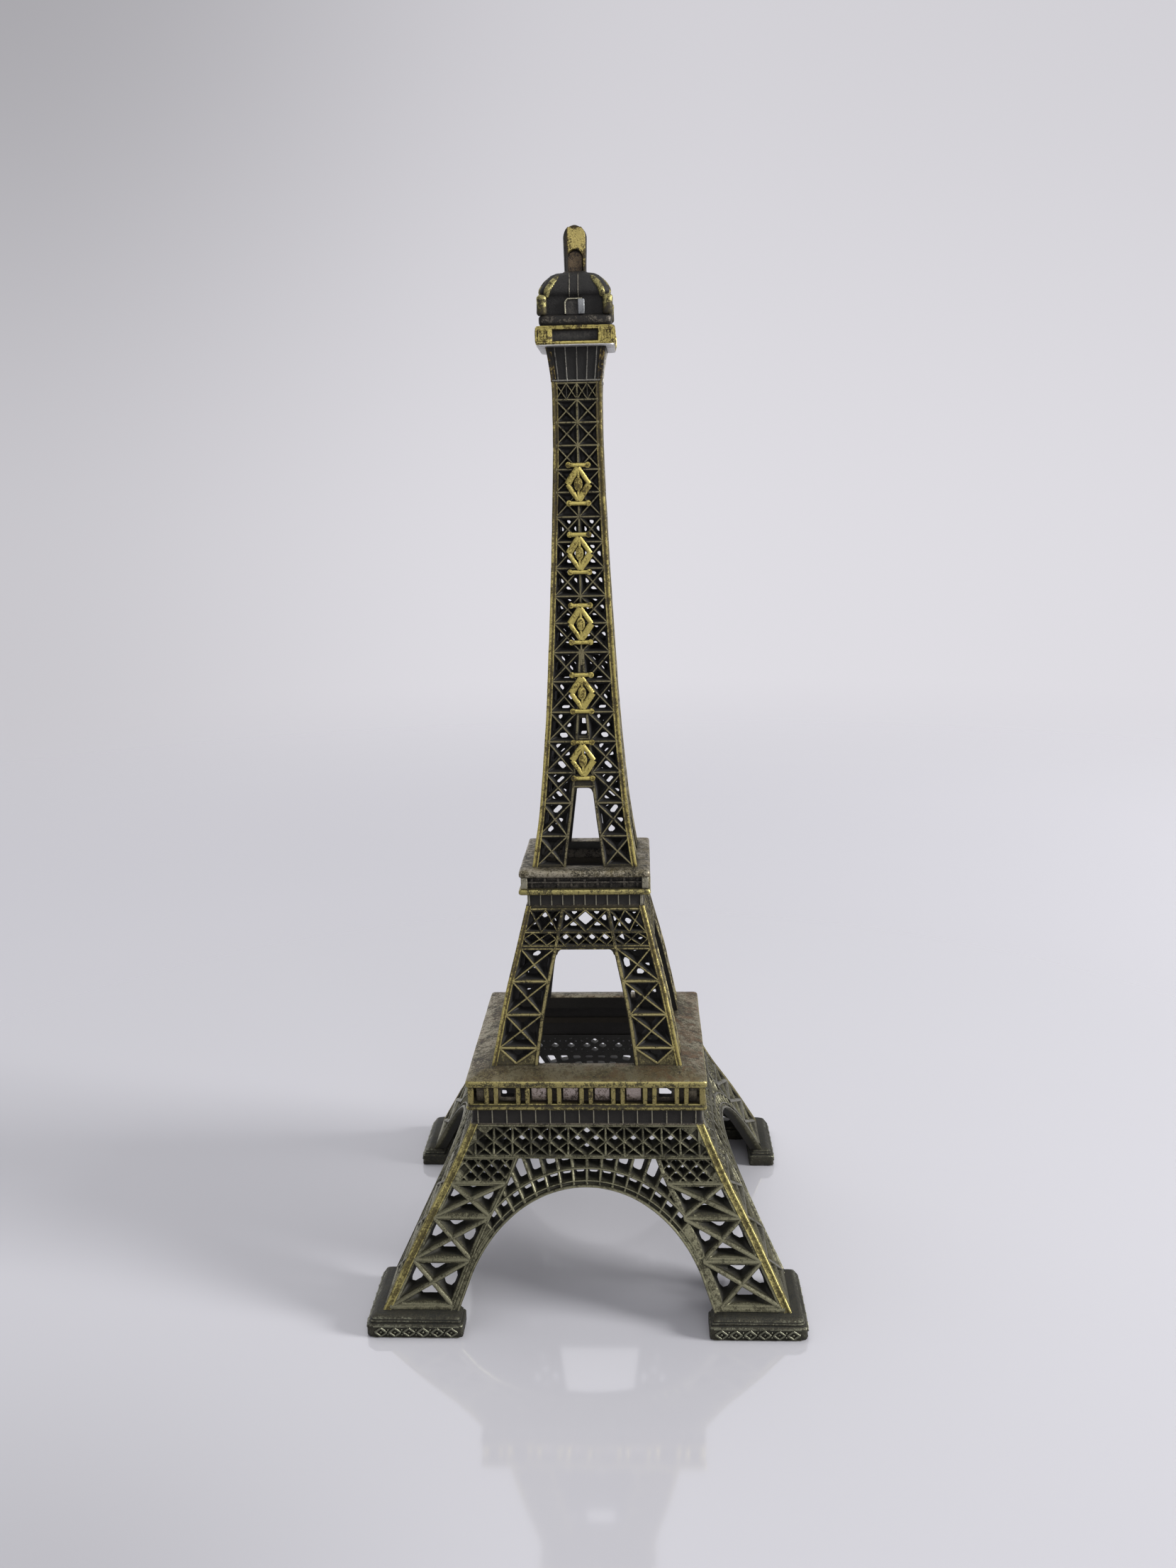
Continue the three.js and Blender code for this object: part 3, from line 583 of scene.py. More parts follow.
def antique(name, dark, mid, gold, wear=0.5, d0=0.06, d1=0.42, rough=(0.36, 0.6), metal=(0.95, 0.55),
            grain=0.5, mottle=0.5, ao_dist=1.4, ao_pow=1.3, stain=None, stain_amt=0.0, edge=0.35, up=0.0, front_tint=None, fields=()):
    """Cast metal: a dark patina in the recesses, deepened with painted shade from ambient occlusion, a mid tone, and
    metal rubbed bright on what stands proud.
    """
    mat = bpy.data.materials.new(name)
    nt = nodes_of(mat)
    n = Net(nt)
    out = n.new("ShaderNodeOutputMaterial")
    bsdf = n.new("ShaderNodeBsdfPrincipled")
    n.link(bsdf.outputs[0], out.inputs[0])
    co = n.new("ShaderNodeTexCoord").outputs["Object"]
    mp = n.new("ShaderNodeVectorMath", operation="SCALE")
    mp.inputs["Scale"].default_value = 1000.0
    n.link(co, mp.inputs[0])
    vec = mp.outputs[0]
    big = n.noise(vec, 0.22, 4, 0.6, 0.6)
    mid_n = n.noise(vec, 1.5, 4, 0.62, 0.4)
    fine = n.noise(vec, 4.5, 3, 0.6)
    grain_n = n.noise(vec, 11.0, 2, 0.6)
    dep = n.new("ShaderNodeAttribute", attribute_name="dep").outputs["Fac"]
    proud = n.ramp(dep, (d0, d1, 1.0, 0.0))
    # Ambient occlusion keeps the dark patina in the hollows, and also paints shade into recesses and onto inner walls.
    ao = n.new("ShaderNodeAmbientOcclusion", samples=5)
    ao.inputs["Distance"].default_value = ao_dist * MM
    open_ = n.math("POWER", ao.outputs["AO"], ao_pow)
    geo = n.new("ShaderNodeNewGeometry")
    point = n.ramp(geo.outputs["Pointiness"], (0.50, 0.60, 0.0, 1.0))
    # rubbed amount
    h = mottle * 0.30
    m1 = n.ramp(mid_n, (0.33, 0.67, -h, h))
    m2 = n.ramp(big, (0.36, 0.64, -h * 0.8, h * 0.8))
    m3 = n.ramp(fine, (0.32, 0.68, -h * 0.7, h * 0.7))
    msum = n.math("ADD", n.math("ADD", m1, m2), m3)
    base = n.math("ADD", msum, wear)
    base = n.math("MULTIPLY_ADD", point, edge, base)
    if up:
        sep = n.new("ShaderNodeSeparateXYZ")
        n.link(geo.outputs["Normal"], sep.inputs[0])
        base = n.math("MULTIPLY_ADD", sep.outputs["Z"], up, base)
    if fields:
        sx = n.new("ShaderNodeSeparateXYZ")
        n.link(vec, sx.inputs[0])
        for axis, v0, v1, f0, f1 in fields:
            base = n.math("MULTIPLY", base, n.ramp(sx.outputs[axis], (v0, v1, f0, f1)))
    # Rubbed amount times the ambient occlusion term: real rubbing and patina, plus painted shade in recesses.
    rub_and_shade = n.math("MULTIPLY", n.math("MULTIPLY", base, proud), open_, clamp=True)
    tone = n.ramp(rub_and_shade, (0.02, 0.36, 0.0, 1.0))
    tone2 = n.ramp(rub_and_shade, (0.37, 0.78, 0.0, 1.0))
    col = n.mix(tone, dark, mid)
    col = n.mix(tone2, col, gold)
    if stain is not None:
        st = n.ramp(n.noise(vec, 0.34, 5, 0.65, 0.9), (0.42, 0.66, 0.0, stain_amt))
        st = n.math("MULTIPLY", st, n.math("MULTIPLY", proud, open_))
        sq = n.new("ShaderNodeSeparateXYZ")
        n.link(vec, sq.inputs[0])
        st = n.math("MULTIPLY", st, n.ramp(n.math("MULTIPLY_ADD", big, 8.0, sq.outputs["X"]), (-6.0, 22.0, 0.35, 1.0)))
        col = n.mix(st, col, stain)
    if front_tint is not None:
        sp = n.new("ShaderNodeSeparateXYZ")
        n.link(vec, sp.inputs[0])
        fr = n.ramp(n.math("MULTIPLY_ADD", mid_n, 5.0, sp.outputs["Y"]), (-16.5, -12.5, 0.7, 0.0))
        fr = n.math("MULTIPLY", fr, n.math("MULTIPLY", proud, open_))
        fr = n.math("MULTIPLY", fr, n.ramp(n.math("ADD", fine, mid_n), (0.82, 1.12, 0.15, 1.0)))
        col = n.mix(fr, col, front_tint)
    v = n.math("MULTIPLY_ADD", fine, 0.9, 0.55)
    vv = n.new("ShaderNodeCombineColor")
    for i in range(3):
        n.link(v, vv.inputs[i])
    col = n.mix(1.0, col, vv.outputs[0], "MULTIPLY")
    n.link(col, bsdf.inputs["Base Color"])
    r = n.new("ShaderNodeMapRange")
    n.link(tone2, r.inputs[0])
    r.inputs[3].default_value = rough[1]
    r.inputs[4].default_value = rough[0]
    rr = n.math("MULTIPLY_ADD", fine, 0.18, r.outputs[0])
    n.link(n.math("SUBTRACT", rr, 0.09), bsdf.inputs["Roughness"])
    me = n.new("ShaderNodeMapRange")
    n.link(tone, me.inputs[0])
    me.inputs[3].default_value = metal[1]
    me.inputs[4].default_value = metal[0]
    n.link(me.outputs[0], bsdf.inputs["Metallic"])
    h = n.math("ADD", n.math("MULTIPLY", grain_n, 0.35), n.math("MULTIPLY", fine, 0.65))
    h = n.math("MULTIPLY_ADD", mid_n, 0.9, h)
    bump = n.new("ShaderNodeBump")
    bump.inputs["Strength"].default_value = grain
    bump.inputs["Distance"].default_value = 0.09 * MM
    n.link(h, bump.inputs["Height"])
    n.link(bump.outputs[0], bsdf.inputs["Normal"])
    return mat


GOLD_HI = (0.52, 0.42, 0.115)
GOLD_MID = (0.15, 0.115, 0.04)
OLIVE_HI = (0.134, 0.127, 0.083)
OLIVE_MID = (0.047, 0.044, 0.029)
BLACK = (0.012, 0.011, 0.010)
BROWN = (0.026, 0.021, 0.014)

MAT_GOLD = antique("worn_gold", BROWN, (0.105, 0.08, 0.034), (0.42, 0.35, 0.115), wear=0.47, d0=0.05, d1=0.5, mottle=1.15, edge=0.4)
MAT_ORN = antique("ornament_gold", BROWN, (0.13, 0.10, 0.035), (0.46, 0.38, 0.12), wear=0.50, d0=0.0, d1=0.34, mottle=0.8, edge=0.4)
MAT_LEDGE = antique("ledge_gold", BROWN, (0.088, 0.077, 0.042), (0.31, 0.265, 0.105), wear=0.39, d0=0.05, d1=0.5, mottle=0.9, edge=0.5)
MAT_CHORD_COL = antique("column_chord", BROWN, (0.10, 0.08, 0.036), (0.41, 0.34, 0.12), wear=0.60, d0=0.0, d1=0.11, mottle=0.75, edge=0.35,
                        fields=((2, 105, 152, 1.0, 0.56),))
MAT_CHORD_BASE = antique("base_chord", BROWN, (0.082, 0.068, 0.030), (0.30, 0.26, 0.10), wear=0.60, d0=0.0, d1=0.19, mottle=0.55, edge=0.3, rough=(0.46, 0.6))
MAT_COL = antique("column_lattice", BLACK, (0.042, 0.037, 0.025), (0.20, 0.175, 0.10), wear=0.52, d0=0.0, d1=0.26, mottle=0.7, edge=0.35)
MAT_MID = antique("middle_lattice", BLACK, (0.052, 0.045, 0.027), (0.27, 0.23, 0.105), wear=0.54, d0=0.0, d1=0.30, mottle=0.8, edge=0.35,
                  fields=((2, 55, 60.5, 1.0, 0.66),))
MAT_CHORD_MID = antique("middle_chord", BROWN, (0.10, 0.08, 0.036), (0.40, 0.335, 0.12), wear=0.60, d0=0.0, d1=0.11, mottle=0.75, edge=0.35,
                        fields=((2, 48, 63, 1.0, 0.62),))
MAT_BASE = antique("base_lattice", (0.016, 0.015, 0.011), OLIVE_MID, OLIVE_HI, wear=0.50, d0=0.10, d1=1.5, mottle=0.7, edge=0.45, ao_dist=1.8)
MAT_FOOT = antique("foot_patina", (0.016, 0.016, 0.012), (0.052, 0.049, 0.037), (0.155, 0.154, 0.112), wear=0.48, d0=0.0, d1=0.5, mottle=0.8, edge=0.5, ao_dist=0.9, grain=0.9)
MAT_DARK = antique("dark_patina", (0.014, 0.012, 0.010), (0.048, 0.041, 0.033), (0.15, 0.13, 0.095), wear=0.42, mottle=0.7, edge=0.5, metal=(0.85, 0.4), rough=(0.42, 0.6), grain=0.9)
MAT_NECK_CHORD = antique("neck_chord", BLACK, (0.045, 0.034, 0.02), (0.20, 0.15, 0.06), wear=0.22, d0=0.0, d1=0.16, mottle=1.4, edge=0.4)
MAT_FINIAL = antique("finial_wear", BLACK, (0.062, 0.047, 0.024), (0.36, 0.29, 0.105), wear=0.45, d0=0.1, d1=0.6, mottle=1.25, edge=0.25,
                    fields=((2, 178.7, 179.8, 1.0, 0.45), (0, -1.4, -0.9, 0.12, 1.0), (2, 174.6, 177.2, 0.6, 1.0)))
MAT_BOSS = antique("boss_gold", BROWN, (0.072, 0.062, 0.033), (0.27, 0.24, 0.10), wear=0.44, d0=0.05, d1=0.5, mottle=1.3, edge=0.25, rough=(0.5, 0.62),
                   fields=((2, 165.9, 167.8, 0.35, 1.0), (2, 170.6, 172.2, 1.0, 0.3)))
MAT_POST = antique("post_wear", BROWN, (0.075, 0.063, 0.034), (0.29, 0.245, 0.10), wear=0.32, d0=0.05, d1=0.5, mottle=1.2, edge=0.55)
MAT_DOME = antique("dome_patina", (0.008, 0.007, 0.006), (0.024, 0.021, 0.018), (0.085, 0.075, 0.06), wear=0.36, mottle=1.2, edge=0.35,
                   metal=(0.7, 0.35), rough=(0.46, 0.64), grain=1.0)
# Dark brown for the sheet in the finial's arched recess: the patina of the hollow, deepened with painted shade.
MAT_RECESS = antique("finial_recess", (0.010, 0.007, 0.005), (0.030, 0.019, 0.013), (0.11, 0.075, 0.04), wear=0.40, mottle=1.4, edge=0.3,
                     metal=(0.35, 0.15), rough=(0.55, 0.7), grain=1.0)
MAT_LINE = antique("dome_line", (0.02, 0.018, 0.015), (0.062, 0.056, 0.046), (0.17, 0.155, 0.125), wear=0.5, mottle=1.4)
MAT_NECK_LINE = antique("neck_line", (0.03, 0.028, 0.025), (0.092, 0.087, 0.078), (0.215, 0.205, 0.18), wear=0.5, mottle=1.2)
MAT_RIB = antique("rib_line", (0.03, 0.028, 0.02), (0.13, 0.12, 0.09), (0.30, 0.28, 0.21), wear=0.6, mottle=0.8)
MAT_PANEL = antique("gallery_panel", (0.06, 0.048, 0.04), (0.18, 0.145, 0.122), (0.37, 0.31, 0.28), wear=0.58, mottle=1.6, grain=0.9, ao_dist=0.6)
MAT_BRONZE = antique("bronze_deck", (0.016, 0.014, 0.011), (0.104, 0.092, 0.060), (0.245, 0.222, 0.155), wear=0.54, mottle=1.15, ao_dist=3,
                     stain=(0.16, 0.088, 0.045), stain_amt=0.7, rough=(0.42, 0.6), metal=(0.8, 0.5), grain=1.0, front_tint=(0.095, 0.075, 0.028))
MAT_PALE = antique("pale_deck", (0.014, 0.013, 0.011), (0.105, 0.092, 0.062), (0.26, 0.232, 0.175), wear=0.52, mottle=1.25, ao_dist=3,
                   stain=(0.14, 0.11, 0.045), stain_amt=0.65, rough=(0.4, 0.55), metal=(0.75, 0.5), grain=1.0)
MAT_GREY = antique("grey_cast", (0.10, 0.095, 0.09), (0.30, 0.29, 0.28), (0.52, 0.51, 0.50), wear=0.62, mottle=0.6, metal=(0.6, 0.5), grain=0.9)
MAT_LEAF = antique("door_leaf", (0.03, 0.03, 0.03), (0.09, 0.092, 0.094), (0.19, 0.195, 0.20), wear=0.5, mottle=0.6, metal=(0.5, 0.4))
# Painted shade: near-black metal for the slot inserts and the recessed door block, standing for the shade inside them.
MAT_INNER_SHADE = antique("inner_painted_shade", (0.007, 0.007, 0.007), (0.014, 0.013, 0.012), (0.04, 0.036, 0.03), wear=0.25, mottle=0.4,
                    metal=(0.3, 0.2), rough=(0.6, 0.75), grain=0.9)

SIDES = ["front", "right", "rear", "left"]

# ------------------------------------------------------------------ base arch panels
B_Z0, B_Z1 = FOOT_H - 0.15, FR1[0][2] + 0.25
B_T = 2.45
B_FRONT = 0.16
ARCH_R, ARCH_ZC = 21.2, -0.3
LEG_IN = [(3, 22.9), (10.7, 19.6), (15.8, 17.0), (22.3, 13.4), (25.2, 12.15)]


def arch_pts(extra, n=44):
    """Intrados from right foot to left foot, extra moves it into the metal."""
    pts = []
    z_str = 8.5
    a0 = math.asin((z_str - ARCH_ZC) / ARCH_R)
    xs = ARCH_R * math.cos(a0)
    foot_x = xs + (z_str - B_Z0) * 0.40
    for k in range(4):
        t = k / 4
        pts.append((foot_x + (xs - foot_x) * t + extra, B_Z0 + (z_str - B_Z0) * t))
    for i in range(n + 1):
        a = a0 + (math.pi - 2 * a0) * i / n
        r = ARCH_R + extra
        pts.append((r * math.cos(a), ARCH_ZC + r * math.sin(a)))
    pts.extend([(-x, z) for x, z in pts[:4][::-1]])
    return pts


def base_outline(depth, e):
    zs = frange(B_Z0, B_Z1, 9)
    left = [(-(half(z) - depth - e), z) for z in zs]
    left[-1] = (left[-1][0], B_Z1 - e)
    right = [(-x, z) for x, z in left[::-1]]
    return ccw(left + right + arch_pts(e))


def leg_line(z, pad=0.0):
    return -(table(LEG_IN, z) + pad)


def clip_region(p, z_lo, z_hi, left_pad, right=None):
    """Cut a convex cell to the left leg between its outer chord and a right boundary."""
    p = ccw(p)
    zc = sum(v[1] for v in p) / len(p)
    zc = max(z_lo + 0.5, min(z_hi - 0.5, zc))
    q = (-(half(zc - 2) - left_pad), zc - 2)
    r = (-(half(zc + 2) - left_pad), zc + 2)
    p = clip(p, r, q)
    if len(p) >= 3:
        p = clip(p, (-100, z_lo), (100, z_lo))
    if len(p) >= 3:
        p = clip(p, (100, z_hi), (-100, z_hi))
    if right is not None and len(p) >= 3:
        p = clip(p, (right(zc - 1.2), zc - 1.2), (right(zc + 1.2), zc + 1.2))
    return p


def mirror(polys):
    return [[(-x, z) for x, z in p] for p in polys]


def base_holes():
    H = []

    def put(polys, bar, draft, both=True, **kw):
        for p in (polys + mirror(polys)) if both else polys:
            r = rings_for(p, bar, 0.06, draft, B_T, B_FRONT, **kw)
            if r:
                H.append(r)

    # girder row, stacked crosses between uprights
    z0, zm, z1 = 25.45, 27.6, 29.95
    pitch = 3.23
    cells = []
    for k in range(-7, 0):
        x0, x1 = pitch * k, pitch * (k + 1)
        xm = (x0 + x1) / 2
        c1, c2 = (xm, (zm + z1) / 2), (xm, (z0 + zm) / 2)
        up = 0.05
        xa = x0 + up
        xb = x1 - up if k != -1 else x1
        cells += [
            [(x0, z1), (x1, z1), c1], [(x0, z0), (x1, z0), c2],
            [(xa, zm), (xa, z1), c1], [(xa, z0), (xa, zm), c2],
            [(x0, zm), c2, (x1, zm), c1],
        ]
        if k != -1:
            cells += [[(xb, zm), (xb, z1), c1], [(xb, z0), (xb, zm), c2]]
    row = [clip_region(p, z0, z1, 1.5) for p in cells]
    put([p for p in row if len(p) >= 3], 0.11, 0.26, pocket=0.9, rback=0.3, minhole=0.10)
    c1, c2 = (zm + z1) / 2, (z0 + zm) / 2
    hx = pitch / 2
    put([[(0, zm), (hx, c1), (0, z1), (-hx, c1)], [(0, z0), (hx, c2), (0, zm), (-hx, c2)]], 0.11, 0.26, both=False, rback=0.3)

    # leg row under it, a net of diamonds
    z0, z1 = 21.7, 25.0
    px, pz = 1.18, 1.02
    cells = []
    zc0 = 23.35
    for i in range(-26, -8):
        x = i * px + 0.0
        for j in (-2, -1, 0, 1, 2):
            if (i + j) % 2:
                continue
            zc = zc0 + j * pz
            cells.append([(x - px, zc), (x, zc - pz), (x + px, zc), (x, zc + pz)])
    row = [clip_region(p, z0, z1, 1.5, lambda z: leg_line(z, 0.25)) for p in cells]
    put([p for p in row if len(p) >= 3], 0.11, 0.24, pocket=0.8, rback=0.25, minhole=0.10)

    # leg panels, big crosses
    for a, b in ((16.85, 21.35), (10.75, 16.45), (4.15, 10.35)):
        lo = lambda z: -(half(z) - 1.5)
        hi = lambda z: leg_line(z, 0.30)
        put(quad_x((lo(a), a), (hi(a), a), (hi(b), b), (lo(b), b)), 0.30, 0.36, rback=0.8, minhole=0.3, pocket=1.6)

    # arch band
    step = 5.85
    th = lambda k: math.radians(90 + k * step)
    def ring_cell(k, r0, r1, sub=1, pad=0.2):
        a0, a1 = th(k) + pad / r0, th(k + 1) - pad / r0
        pts = []
        for i in range(sub + 1):
            a = a0 + (a1 - a0) * i / sub
            pts.append((r0 * math.cos(a), ARCH_ZC + r0 * math.sin(a)))
        for i in range(sub + 1):
            a = a1 + (a0 - a1) * i / sub
            pts.append((r1 * math.cos(a), ARCH_ZC + r1 * math.sin(a)))
        return pts
    R = ARCH_R
    for k in range(0, 8):
        put([ring_cell(k, R + 1.12, R + 2.62)], 0.0, 0.28, rback=0.25, minhole=0.22)
        put([ring_cell(k, R + 0.36, R + 0.92)], 0.0, 0.1, blind=True, pocket=0.35, rback=0.1)
    for k in range(0, 7):
        p = clip(ccw(ring_cell(k, R + 3.05, R + 8.0)), (100, 25.1), (-100, 25.1))
        if len(p) >= 3:
            zc = min(24.9, sum(v[1] for v in p) / len(p))
            f = lambda z: leg_line(z, -0.30)
            p = clip(p, (f(zc + 1.5), zc + 1.5), (f(zc - 1.5), zc - 1.5))
        if len(p) >= 3:
            put([p], 0.02, 0.30, rback=0.35, minhole=0.18)
    # narrow groove between the leg chord and the arch rim, below the band
    for a, b in ((5.0, 9.6), (10.0, 13.4)):
        def rim(z):
            if z < 8.5:
                return -(math.sqrt(ARCH_R ** 2 - (8.5 - ARCH_ZC) ** 2) + (8.5 - z) * 0.40 + 0.5)
            return -(math.sqrt(ARCH_R ** 2 - (z - ARCH_ZC) ** 2) + 0.5)
        m = (a + b) / 2
        put([[(leg_line(a, -0.3), a), (rim(a), a), (rim(m), m), (rim(b), b), (leg_line(b, -0.3), b)]], 0.0, 0.25, blind=True, pocket=0.7, rback=0.2)
    return H


def poly_loft_xz(left_of, right_of, zs, front, back, bulge=0.0):
    """A solid strip between two boundary curves on the front face."""
    loops, deps = [], []
    for z in zs:
        xl, xr = left_of(z), right_of(z)
        w = xr - xl
        sec = [(xl, back), (xl, front + 0.12), (xl + w * 0.16, front), (xl + w * 0.5, front + bulge), (xr - w * 0.16, front), (xr, front + 0.12), (xr, back)]
        loops.append([(x, -half(z) + d, z) for x, d in sec])
        deps.append([d for _, d in sec])
    return loft(loops, deps)


def base_trim():
    """Ridge lines standing on the base plate: leg chord, arch rims, row lines."""
    t = Solid()
    # leg inner chord, from the foot to the row line
    zs = frange(FOOT_H - 0.1, 25.2, 16)
    left = strip(lambda z: -table(LEG_IN, z), 0.42, 0.5, zs, raise_to=-0.03, edge=0.14)
    t.join(left)
    # rim along the opening, and the two thin bars round it
    def arch_bar(r_mid, w, raise_to, n=52, a_lo=24.0, straight=True, edge=0.12):
        a0, a1 = math.radians(a_lo), math.radians(180 - a_lo)
        path = []
        for i in range(n + 1):
            a = a0 + (a1 - a0) * i / n
            path.append((r_mid * math.cos(a), ARCH_ZC + r_mid * math.sin(a), math.cos(a), math.sin(a)))
        if straight:
            x0, z0, _, _ = path[0]
            nx, nz = math.cos(math.radians(-22) + 0.0), math.sin(math.radians(22)) * 0
            ext = []
            for k in range(3):
                z = FOOT_H - 0.1 + (z0 - FOOT_H + 0.1) * k / 3
                ext.append((x0 + (z0 - z) * 0.40, z, 0.93, 0.37))
            path = ext + path + [(-x, z, -cx, cz) for x, z, cx, cz in ext[::-1]]
        sec = [(-0.5, 0.6), (-0.5, raise_to + edge), (-0.28, raise_to), (0.28, raise_to), (0.5, raise_to + edge), (0.5, 0.6)]
        loops, deps = [], []
        for x, z, cx, cz in path:
            loops.append([on_front(x + cx * u * w, z + cz * u * w, d) for u, d in sec])
            deps.append([d - raise_to for _, d in sec])
        return loft(loops, deps)
    t.join(arch_bar(ARCH_R + 0.24, 0.40, -0.02))
    t.join(arch_bar(ARCH_R + 1.03, 0.24, 0.04, a_lo=33, straight=False))
    t.join(arch_bar(ARCH_R + 2.86, 0.30, 0.02, a_lo=42, straight=False))
    # row lines
    for z, w, inner in ((30.12, 0.34, None), (25.25, 0.26, None)):
        x = half(z) - 1.2
        t.join(bar_between((-x, z), (x, z), w, 0.5, raise_to=0.02, edge=0.1, seg=8))
    for z, w in ((21.5, 0.5), (16.62, 0.62), (10.55, 0.72)):
        for sx in (-1, 1):
            t.join(bar_between((sx * (half(z) - 1.2), z), (sx * table(LEG_IN, z), z), w, 0.6, raise_to=0.0, edge=0.25, seg=3))
    # sloped bar where the leg meets the foot
    for sx in (-1, 1):
        t.join(bar_between((sx * (half(3.8) - 1.0), 3.85), (sx * (table(LEG_IN, 3.8)), 3.95), 0.95, 0.6, raise_to=-0.04, edge=0.34, seg=3))
    # ribs on the arch band
    for k in range(-8, 9):
        a = math.radians(90 + 5.85 * k)
        ca, sa = math.cos(a), math.sin(a)
        t.join(bar_between((ca * (ARCH_R + 0.9), ARCH_ZC + sa * (ARCH_R + 0.9)), (ca * (ARCH_R + 2.9), ARCH_ZC + sa * (ARCH_R + 2.9)),
                           0.36, 0.5, raise_to=0.06, edge=0.1))
    # crosses in the leg panels
    for a, b in ((16.75, 21.4), (10.65, 16.5), (4.1, 10.45)):
        for sx in (-1, 1):
            lo = lambda z: sx * (half(z) - 1.3)
            hi = lambda z: sx * (table(LEG_IN, z) + 0.1)
            t.join(bar_between((lo(a), a), (hi(b), b), 0.72, 0.6, raise_to=0.0, edge=0.3, seg=3))
            t.join(bar_between((hi(a), a), (lo(b), b), 0.72, 0.6, raise_to=0.0, edge=0.3, seg=3))
    return t


def base_panel():
    s = plate(base_outline, base_holes(), B_T, B_FRONT, 0.07, on_front)
    s.join(base_trim())
    return s


# ------------------------------------------------------------------ middle panels
M_Z0, M_Z1 = DK1[1][2] + 0.0, FR2[0][2] + 0.1
M_T = 1.75
M_FRONT = 0.15
MID_IN = [(40, 8.78), (48.3, 7.63), (54, 6.5), (60, 5.15), (66, 4.0)]


def mid_outline(depth, e):
    zs = frange(M_Z0 + 0.05, M_Z1, 10)
    left = [(-(half(z) - depth - e), z) for z in zs]
    right = [(-x, z) for x, z in left[::-1]]
    zt = 59.35
    def xin(z):
        return table(MID_IN, z) - 0.32 - e
    win = [(xin(z), z) for z in frange(M_Z0 + 0.05, zt - 1.0, 8)]
    r = 1.0
    cx, cz = xin(zt) - r, zt - r + e
    win += [(cx + r * math.cos(a), cz + r * math.sin(a)) for a in frange(0.15, math.pi / 2, 5)]
    win2 = [(-x, z) for x, z in win[::-1]]
    return ccw(left + right + win + win2)


def mid_holes():
    H = []

    def put(polys, bar, draft, both=True, **kw):
        for p in (polys + mirror(polys)) if both else polys:
            r = rings_for(p, bar, 0.05, draft, M_T, M_FRONT, **kw)
            if r:
                H.append(r)

    out = lambda z: -(half(z) - 0.95)
    inn = lambda z: -(table(MID_IN, z) + 0.26)
    for a, b in ((54.25, 59.35), (48.55, 53.75), (42.85, 48.05)):
        put(quad_x((out(a), a), (inn(a), a), (inn(b), b), (out(b), b)), 0.12, 0.42, rback=0.5, minhole=0.25, pocket=1.2)
    # cut cross at the deck
    a, b = 37.4, 42.35
    tri = quad_x((out(a), a), (inn(a), a), (inn(b), b), (out(b), b))
    low = [clip(ccw(p), (-100, M_Z0 + 0.25), (100, M_Z0 + 0.25)) for p in tri]
    put([p for p in low if len(p) >= 3], 0.12, 0.42, rback=0.5, minhole=0.25, pocket=1.2)
    # two rows under the frieze
    core = lambda z: -(table(MID_IN, z) - 0.26)
    flip = lambda z: -core(z)

    def row(xl, xr, a, b, n, shifted, bar, draft, both):
        zm = (a + b) / 2
        f = lambda t, z: (xl(z) + (xr(z) - xl(z)) * t, z)
        cells = []
        if shifted:
            for i in range(n):
                t0, tm, t1 = i / n, (i + 0.5) / n, (i + 1) / n
                cells.append([f(t0, zm), f(tm, a), f(t1, zm), f(tm, b)])
                if i < n - 1:
                    cells.append([f(tm, b), f(t1, zm), f((i + 1.5) / n, b)])
                    cells.append([f(tm, a), f((i + 1.5) / n, a), f(t1, zm)])
            cells += [[f(0, a), f(0.5 / n, a), f(0, zm)], [f(0, zm), f(0.5 / n, b), f(0, b)],
                      [f(1, a), f(1, zm), f(1 - 0.5 / n, a)], [f(1, zm), f(1, b), f(1 - 0.5 / n, b)]]
        else:
            for i in range(n):
                t0, tm, t1 = i / n, (i + 0.5) / n, (i + 1) / n
                cells.append([f(t0, b), f(tm, zm), f(t1, b)])
                cells.append([f(t0, a), f(t1, a), f(tm, zm)])
                if i < n - 1:
                    cells.append([f(tm, zm), f(t1, a), f((i + 1.5) / n, zm), f(t1, b)])
            cells += [[f(0, a), f(0.5 / n, zm), f(0, b)], [f(1, a), f(1, b), f(1 - 0.5 / n, zm)]]
        put(cells, bar, draft, both=both, rback=0.25, minhole=0.09, pocket=0.9)

    row(core, flip, 62.5, 65.95, 2, False, 0.13, 0.30, False)
    row(core, flip, 60.15, 62.1, 4, True, 0.10, 0.20, False)
    row(out, inn, 62.5, 65.95, 2, False, 0.11, 0.24, True)
    row(out, inn, 60.15, 62.1, 2, True, 0.10, 0.20, True)
    return H


